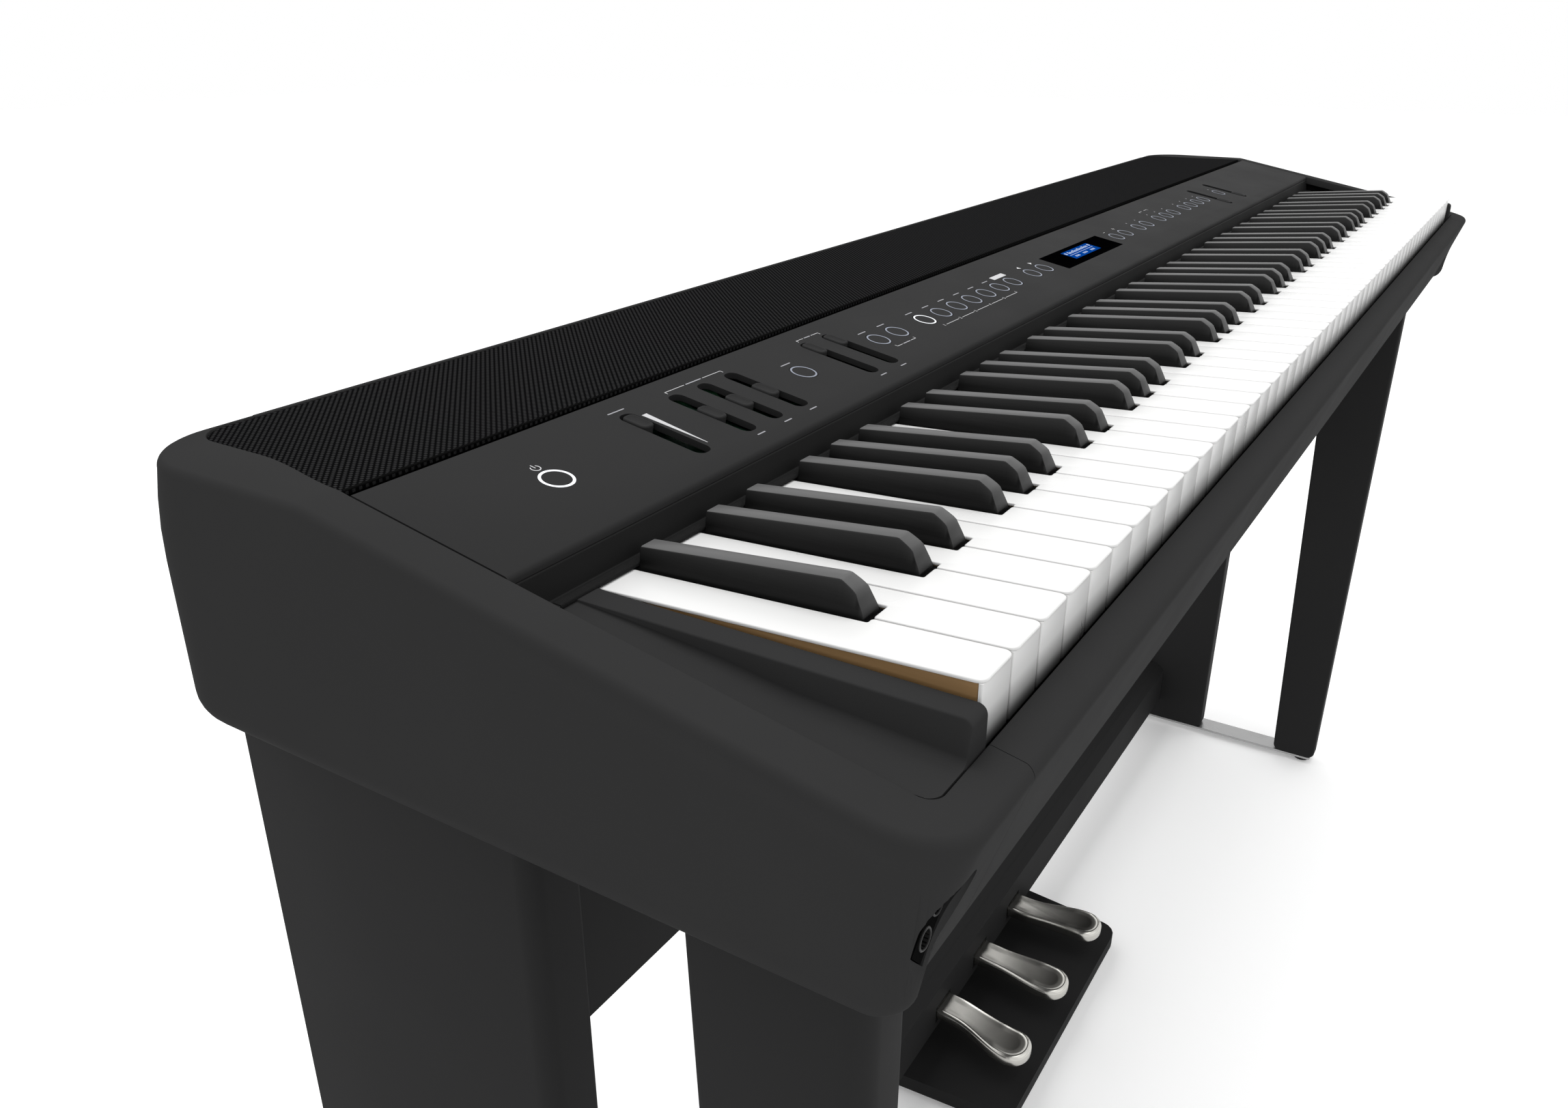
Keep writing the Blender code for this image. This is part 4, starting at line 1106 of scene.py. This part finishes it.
def black_key(name, centre, body):
    """Black key: chamfered and tapered, over a dark block of painted shade that fills the white keys'
    notch.
    """
    x_mid = from_left(centre)
    rings = []
    for y, top, low in black_key_side():
        right = black_section(y, top, low)
        section = [(-right[0][0], right[0][1])] + right + [(-x, z) for x, z in right[:0:-1]]
        rings.append([at(x_mid + x, y, z) for x, z in section])
    # painted shade: a dark block in the notch so the gap beside the black key reads dark
    notch_shade = []
    for y in NOTCH_SHADE_Y:
        top = key_top(y) - 1.3
        corners = ((-6.5, KEY_BOTTOM_Z), (6.5, KEY_BOTTOM_Z), (6.5, top), (-6.5, top))
        notch_shade.append([at(x_mid + x, y, z) for x, z in corners])
    piece(name + "_plinth", [skin(notch_shade)], LOOKS["dark"], body=body)
    return piece(name, [skin(rings)], LOOKS["ebony"], body=body, crease=32)


def carrier_bar(body, y0, y1, z0, z1):
    """Steel bar that joins the keys of one group."""
    low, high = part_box(body)
    bar = block(low.x / MM + 2.5, high.x / MM - 2.5, y0, y1, z0, z1)
    piece(body + "_bar", [bar], LOOKS["inner"], body=body, bevel=0.3)


def make_octave(octave, white_body, black_body):
    """The twelve keys of one octave; returns its first white and first black key."""
    start = octave_start(octave)
    whites = []
    for step, (sharp_left, sharp_right) in enumerate(WHITE_SHARPS):
        left = None if sharp_left is None else start + BLACK_CENTRES[sharp_left] + NOTCH_HALF
        right = None if sharp_right is None else start + BLACK_CENTRES[sharp_right] - NOTCH_HALF
        whites.append(white_key(f"white_{'cdefgab'[step]}{octave}", start + step * WHITE_PITCH,
                                left, right, white_body))
    blacks = [black_key(f"black_{number}_of_{octave}", start + centre, black_body)
              for number, centre in enumerate(BLACK_CENTRES, 1)]
    return whites[0], blacks[0]


def make_keys():
    low_a = white_key("white_a0", 0, None, LOWEST_SHARP - NOTCH_HALF, "key_a0")
    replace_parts(low_a, "key_a0")
    low_b = white_key("white_b0", WHITE_PITCH, LOWEST_SHARP + NOTCH_HALF, None, "key_b0")
    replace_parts(low_b, "key_b0")
    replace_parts(black_key("black_asharp0", LOWEST_SHARP, "key_asharp0"), "key_asharp0")
    ranges = {"c1_to_b2": (1, 2), "c3_to_b4": (3, 4), "c5_to_b6": (5, 6), "c7_to_c8": (7,)}
    for span, octaves in ranges.items():
        white_body = "white_keys_" + span
        black_body = "black_keys_" + span
        firsts = [make_octave(octave, white_body, black_body) for octave in octaves]
        if span == "c7_to_c8":
            white_key("white_c8", octave_start(8), None, None, white_body)
        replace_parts(firsts[0][0], white_body)
        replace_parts(firsts[0][1], black_body)
        carrier_bar(white_body, 219, 226, -17, -13)
        carrier_bar(black_body, 210, 227, -23, -20.4)


# ---------------------------------------------------------------- stand
def make_leg(name, side, front, back_top, back_bottom, front_radius, back_radius):
    """Slab leg with rounded edges and a soft foot; its back edge may lean."""
    under_case = CASE_BOTTOM - PLAY
    foot = BAR_TOP + PLAY
    soft = 6.0
    levels = [(foot + soft * (1 - math.cos(turn)), soft * (1 - math.sin(turn)))
              for turn in quarter_turns(6)]
    levels.append((under_case, 0.0))
    rings = []
    for z, inset in levels:
        share = (z - foot) / (under_case - foot)
        back = back_bottom + (back_top - back_bottom) * share - inset
        near = front + inset
        outline = rounded([(LEG_OUTER, near, front_radius), (LEG_OUTER, back, back_radius),
                           (LEG_INNER, back, 3), (LEG_INNER, near, 3)], 8)
        rings.append([at(side * x, y, z) for x, y in outline])
    leg = piece(name + "_slab", [skin(rings)], LOOKS["board"], crease=50)
    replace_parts(leg, name)


def make_foot(name):
    low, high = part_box(name)
    middle = (low + high) / 2
    tall = (high.z - low.z) / MM
    profile = [(0, 0), (8.2, 0), (9.0, 0.3), (9.8, 1.3), (10, 2.2), (10, tall - 1.2), (9.6, tall - 0.5),
               (8.6, tall - 0.4), (8.6, tall), (0, tall)]
    foot = lathe(profile, Matrix.Translation((middle.x, middle.y, low.z)))
    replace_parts(piece(name + "_turned", [foot], LOOKS["rubber"]), name)


def make_stand():
    for label, side in (("left", -1), ("right", 1)):
        make_leg("front_leg_" + label, side, 20.4, 96, 70.6, 11, 4)
        make_leg("rear_leg_" + label, side, 167, 338, 338, 9, 2)
        round_edges(repaint("base_bar_" + label, "steel"), 0.5, 3, weld=True)
        for place in ("front", "rear"):
            make_foot(f"foot_{place}_{label}")
    for name, width in (("back_board", 0.8), ("pedal_beam", 0.6), ("pedal_board", 1.2)):
        round_edges(repaint(name, "board"), width, 3, weld=True)
    for name, side in (("pedal_left", -1), ("pedal_middle", 0), ("pedal_right", 1)):
        make_pedal(name, side)


def pedal_half_width(y, inset, inner_side):
    """Half width of a pedal: slim shank, wider spoon and a round tip."""
    start, run = (200, 64) if inner_side else (206, 52)
    half = 14.0 + 5.0 * smooth_step((start - y) / run)
    half = (min(half, 12.5) if y > 236 else half) - inset
    reach = (y - PEDAL_TIP_Y - inset) / (PEDAL_TIP_RADIUS - inset)
    if reach < 1:
        half *= math.sqrt(max(1 - (1 - max(reach, 0)) ** 2.2, 0.0))
    return max(half, 0.05)


def pedal_outline(side, inset):
    """Plan of a pedal, moved in by inset, as (x, y) from the back round the tip."""
    tip_start = PEDAL_TIP_Y + PEDAL_TIP_RADIUS
    ys = [252.0 - inset, 240.0, 236.1, 235.9, 230.0, 222.0, 216.0]
    ys += [216 - (216 - tip_start) * step / 24 for step in range(1, 25)]
    ys += [tip_start - (PEDAL_TIP_RADIUS - inset) * math.sin(turn) for turn in quarter_turns(16, 1)]
    plus = []
    minus = []
    for y in ys:
        centre = side * (PEDAL_SPACING + 10.5 * smooth_step((215 - y) / 65))
        narrow = 0.5 * min(inset, 4.0) * smooth_step((y - 142) / 26)
        plus.append((centre + pedal_half_width(y, inset, side < 0) + narrow, y))
        minus.append((centre - pedal_half_width(y, inset, side > 0) - narrow, y))
    return plus + minus[::-1]


def make_pedal(name, side):
    """Cast pedal: bevelled rim round a shallow dish, falling a little towards the tip."""
    levels = [(1.6, -10.8), (0.5, -10.2), (0.0, -9.2), (0.0, -3.4), (0.35, -2.4), (1.1, -1.35),
              (2.2, -0.55), (3.2, -0.12), (3.9, 0.0), (4.2, -0.05), (4.5, -0.25), (6.5, -0.5),
              (9.0, -0.7), (11.0, -0.75)]
    rings = []
    for inset, drop in levels:
        ring = []
        for x, y in pedal_outline(side, inset):
            fade = smooth_step((228 - y) / 26) if drop > -2.3 and inset > 4 else 1.0
            fall = 3 * min(max((BEAM_FRONT_Y - y) / 60, 0), 1)
            ring.append(at(x, y, PEDAL_TOP_Z - fall + drop * fade))
        rings.append(ring)
    pedal = piece(name + "_cast", [skin(rings)], LOOKS["pedal"], body=name,
                  crease=50)
    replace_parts(pedal, name)


# ---------------------------------------------------------------- sockets and inner parts
def make_sockets():
    """Metal collars in the headphone recess and on the rear plate; the speakers' plain look."""
    repaint("headphone_jacks", "dark")
    repaint("connector_plate", "dark")
    for name in ("speaker_left", "speaker_right"):
        repaint(name, "inner")
    profile = [(3.15, -2.0), (3.9, -2.0), (3.9, 0.25), (3.6, 0.5), (3.35, 0.5), (3.15, 0.25),
               (3.15, -2.0)]
    collars = []
    for along in (-JACK_SPACING / 2, JACK_SPACING / 2):
        place = recess_place(JACK_FACE_Y) @ Matrix.Translation((along * MM, 0, 0))
        collars.append(lathe(profile, place @ Matrix.Rotation(math.pi / 2, 4, "X"), 32))
    piece("jack_collars", collars, LOOKS["inner"])
    profile = [(3.35, -1.5), (5.2, -1.5), (5.2, 0.3), (4.8, 0.6), (3.6, 0.6), (3.35, 0.3),
               (3.35, -1.5)]
    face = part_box("connector_plate")[1].y
    collars = []
    for x in (-46, -22, 2, 26):
        place = Matrix.Translation((x * MM, face, KEY_TOP_Z - 56 * MM))
        collars.append(lathe(profile, place @ Matrix.Rotation(-math.pi / 2, 4, "X"), 32))
    piece("socket_collars", collars, LOOKS["steel"])


# ---------------------------------------------------------------- stage, light, camera
def make_stage():
    """White floor, even white sky, and three soft lamps: front, back and top."""
    floor = bmesh.new()
    bmesh.ops.create_grid(floor, x_segments=8, y_segments=8, size=14.0)
    look = plain_paint("floor_white", (0.92, 0.92, 0.92), 0.8, 0.20)
    ground = piece("floor", [floor], look, body=None)
    ground.location.z = -0.0006

    world = bpy.data.worlds.new("studio")
    world.use_nodes = True
    sky = world.node_tree.nodes["Background"]
    sky.inputs["Color"].default_value = (1.0, 1.0, 1.0, 1.0)
    sky.inputs["Strength"].default_value = 1.0
    bpy.context.scene.world = world
    area_light("key_light", (0.3, -2.8, 2.4), (0.0, 0.0, 0.6), 3.0, 6.0)
    area_light("back_light", (0.8, 3.2, 3.0), (0.0, 0.1, 0.7), 3.0, 8.0)
    area_light("top_light", (0.2, 0.1, 4.0), (0.1, 0.1, 0.5), 3.5, 79.0)
    bpy.context.scene.view_settings.view_transform = "Standard"


def area_light(name, place, target, size, power):
    """Round soft lamp at place, turned to target."""
    lamp = bpy.data.lights.new(name, "AREA")
    lamp.shape = "DISK"
    lamp.size = size
    lamp.energy = power
    holder = bpy.data.objects.new(name, lamp)
    holder.location = place
    holder.rotation_euler = (Vector(target) - Vector(place)).to_track_quat("-Z", "Y").to_euler()
    bpy.context.scene.collection.objects.link(holder)


def make_camera():
    """Close view from above the bass end, looking along the keyboard and down."""
    lens = bpy.data.cameras.new("camera")
    lens.lens = LENS
    lens.sensor_width = 36.0
    lens.clip_start = 0.02
    holder = bpy.data.objects.new("camera", lens)
    holder.location = at(*CAMERA_PLACE)
    level = math.cos(CAMERA_PITCH)
    forward = Vector((level * math.cos(CAMERA_HEADING), level * math.sin(CAMERA_HEADING),
                      -math.sin(CAMERA_PITCH)))
    holder.rotation_euler = forward.to_track_quat("-Z", "Y").to_euler()
    bpy.context.scene.collection.objects.link(holder)
    bpy.context.scene.camera = holder


make_case()
make_panel()
make_keys()
make_stand()
make_sockets()
make_stage()
make_camera()
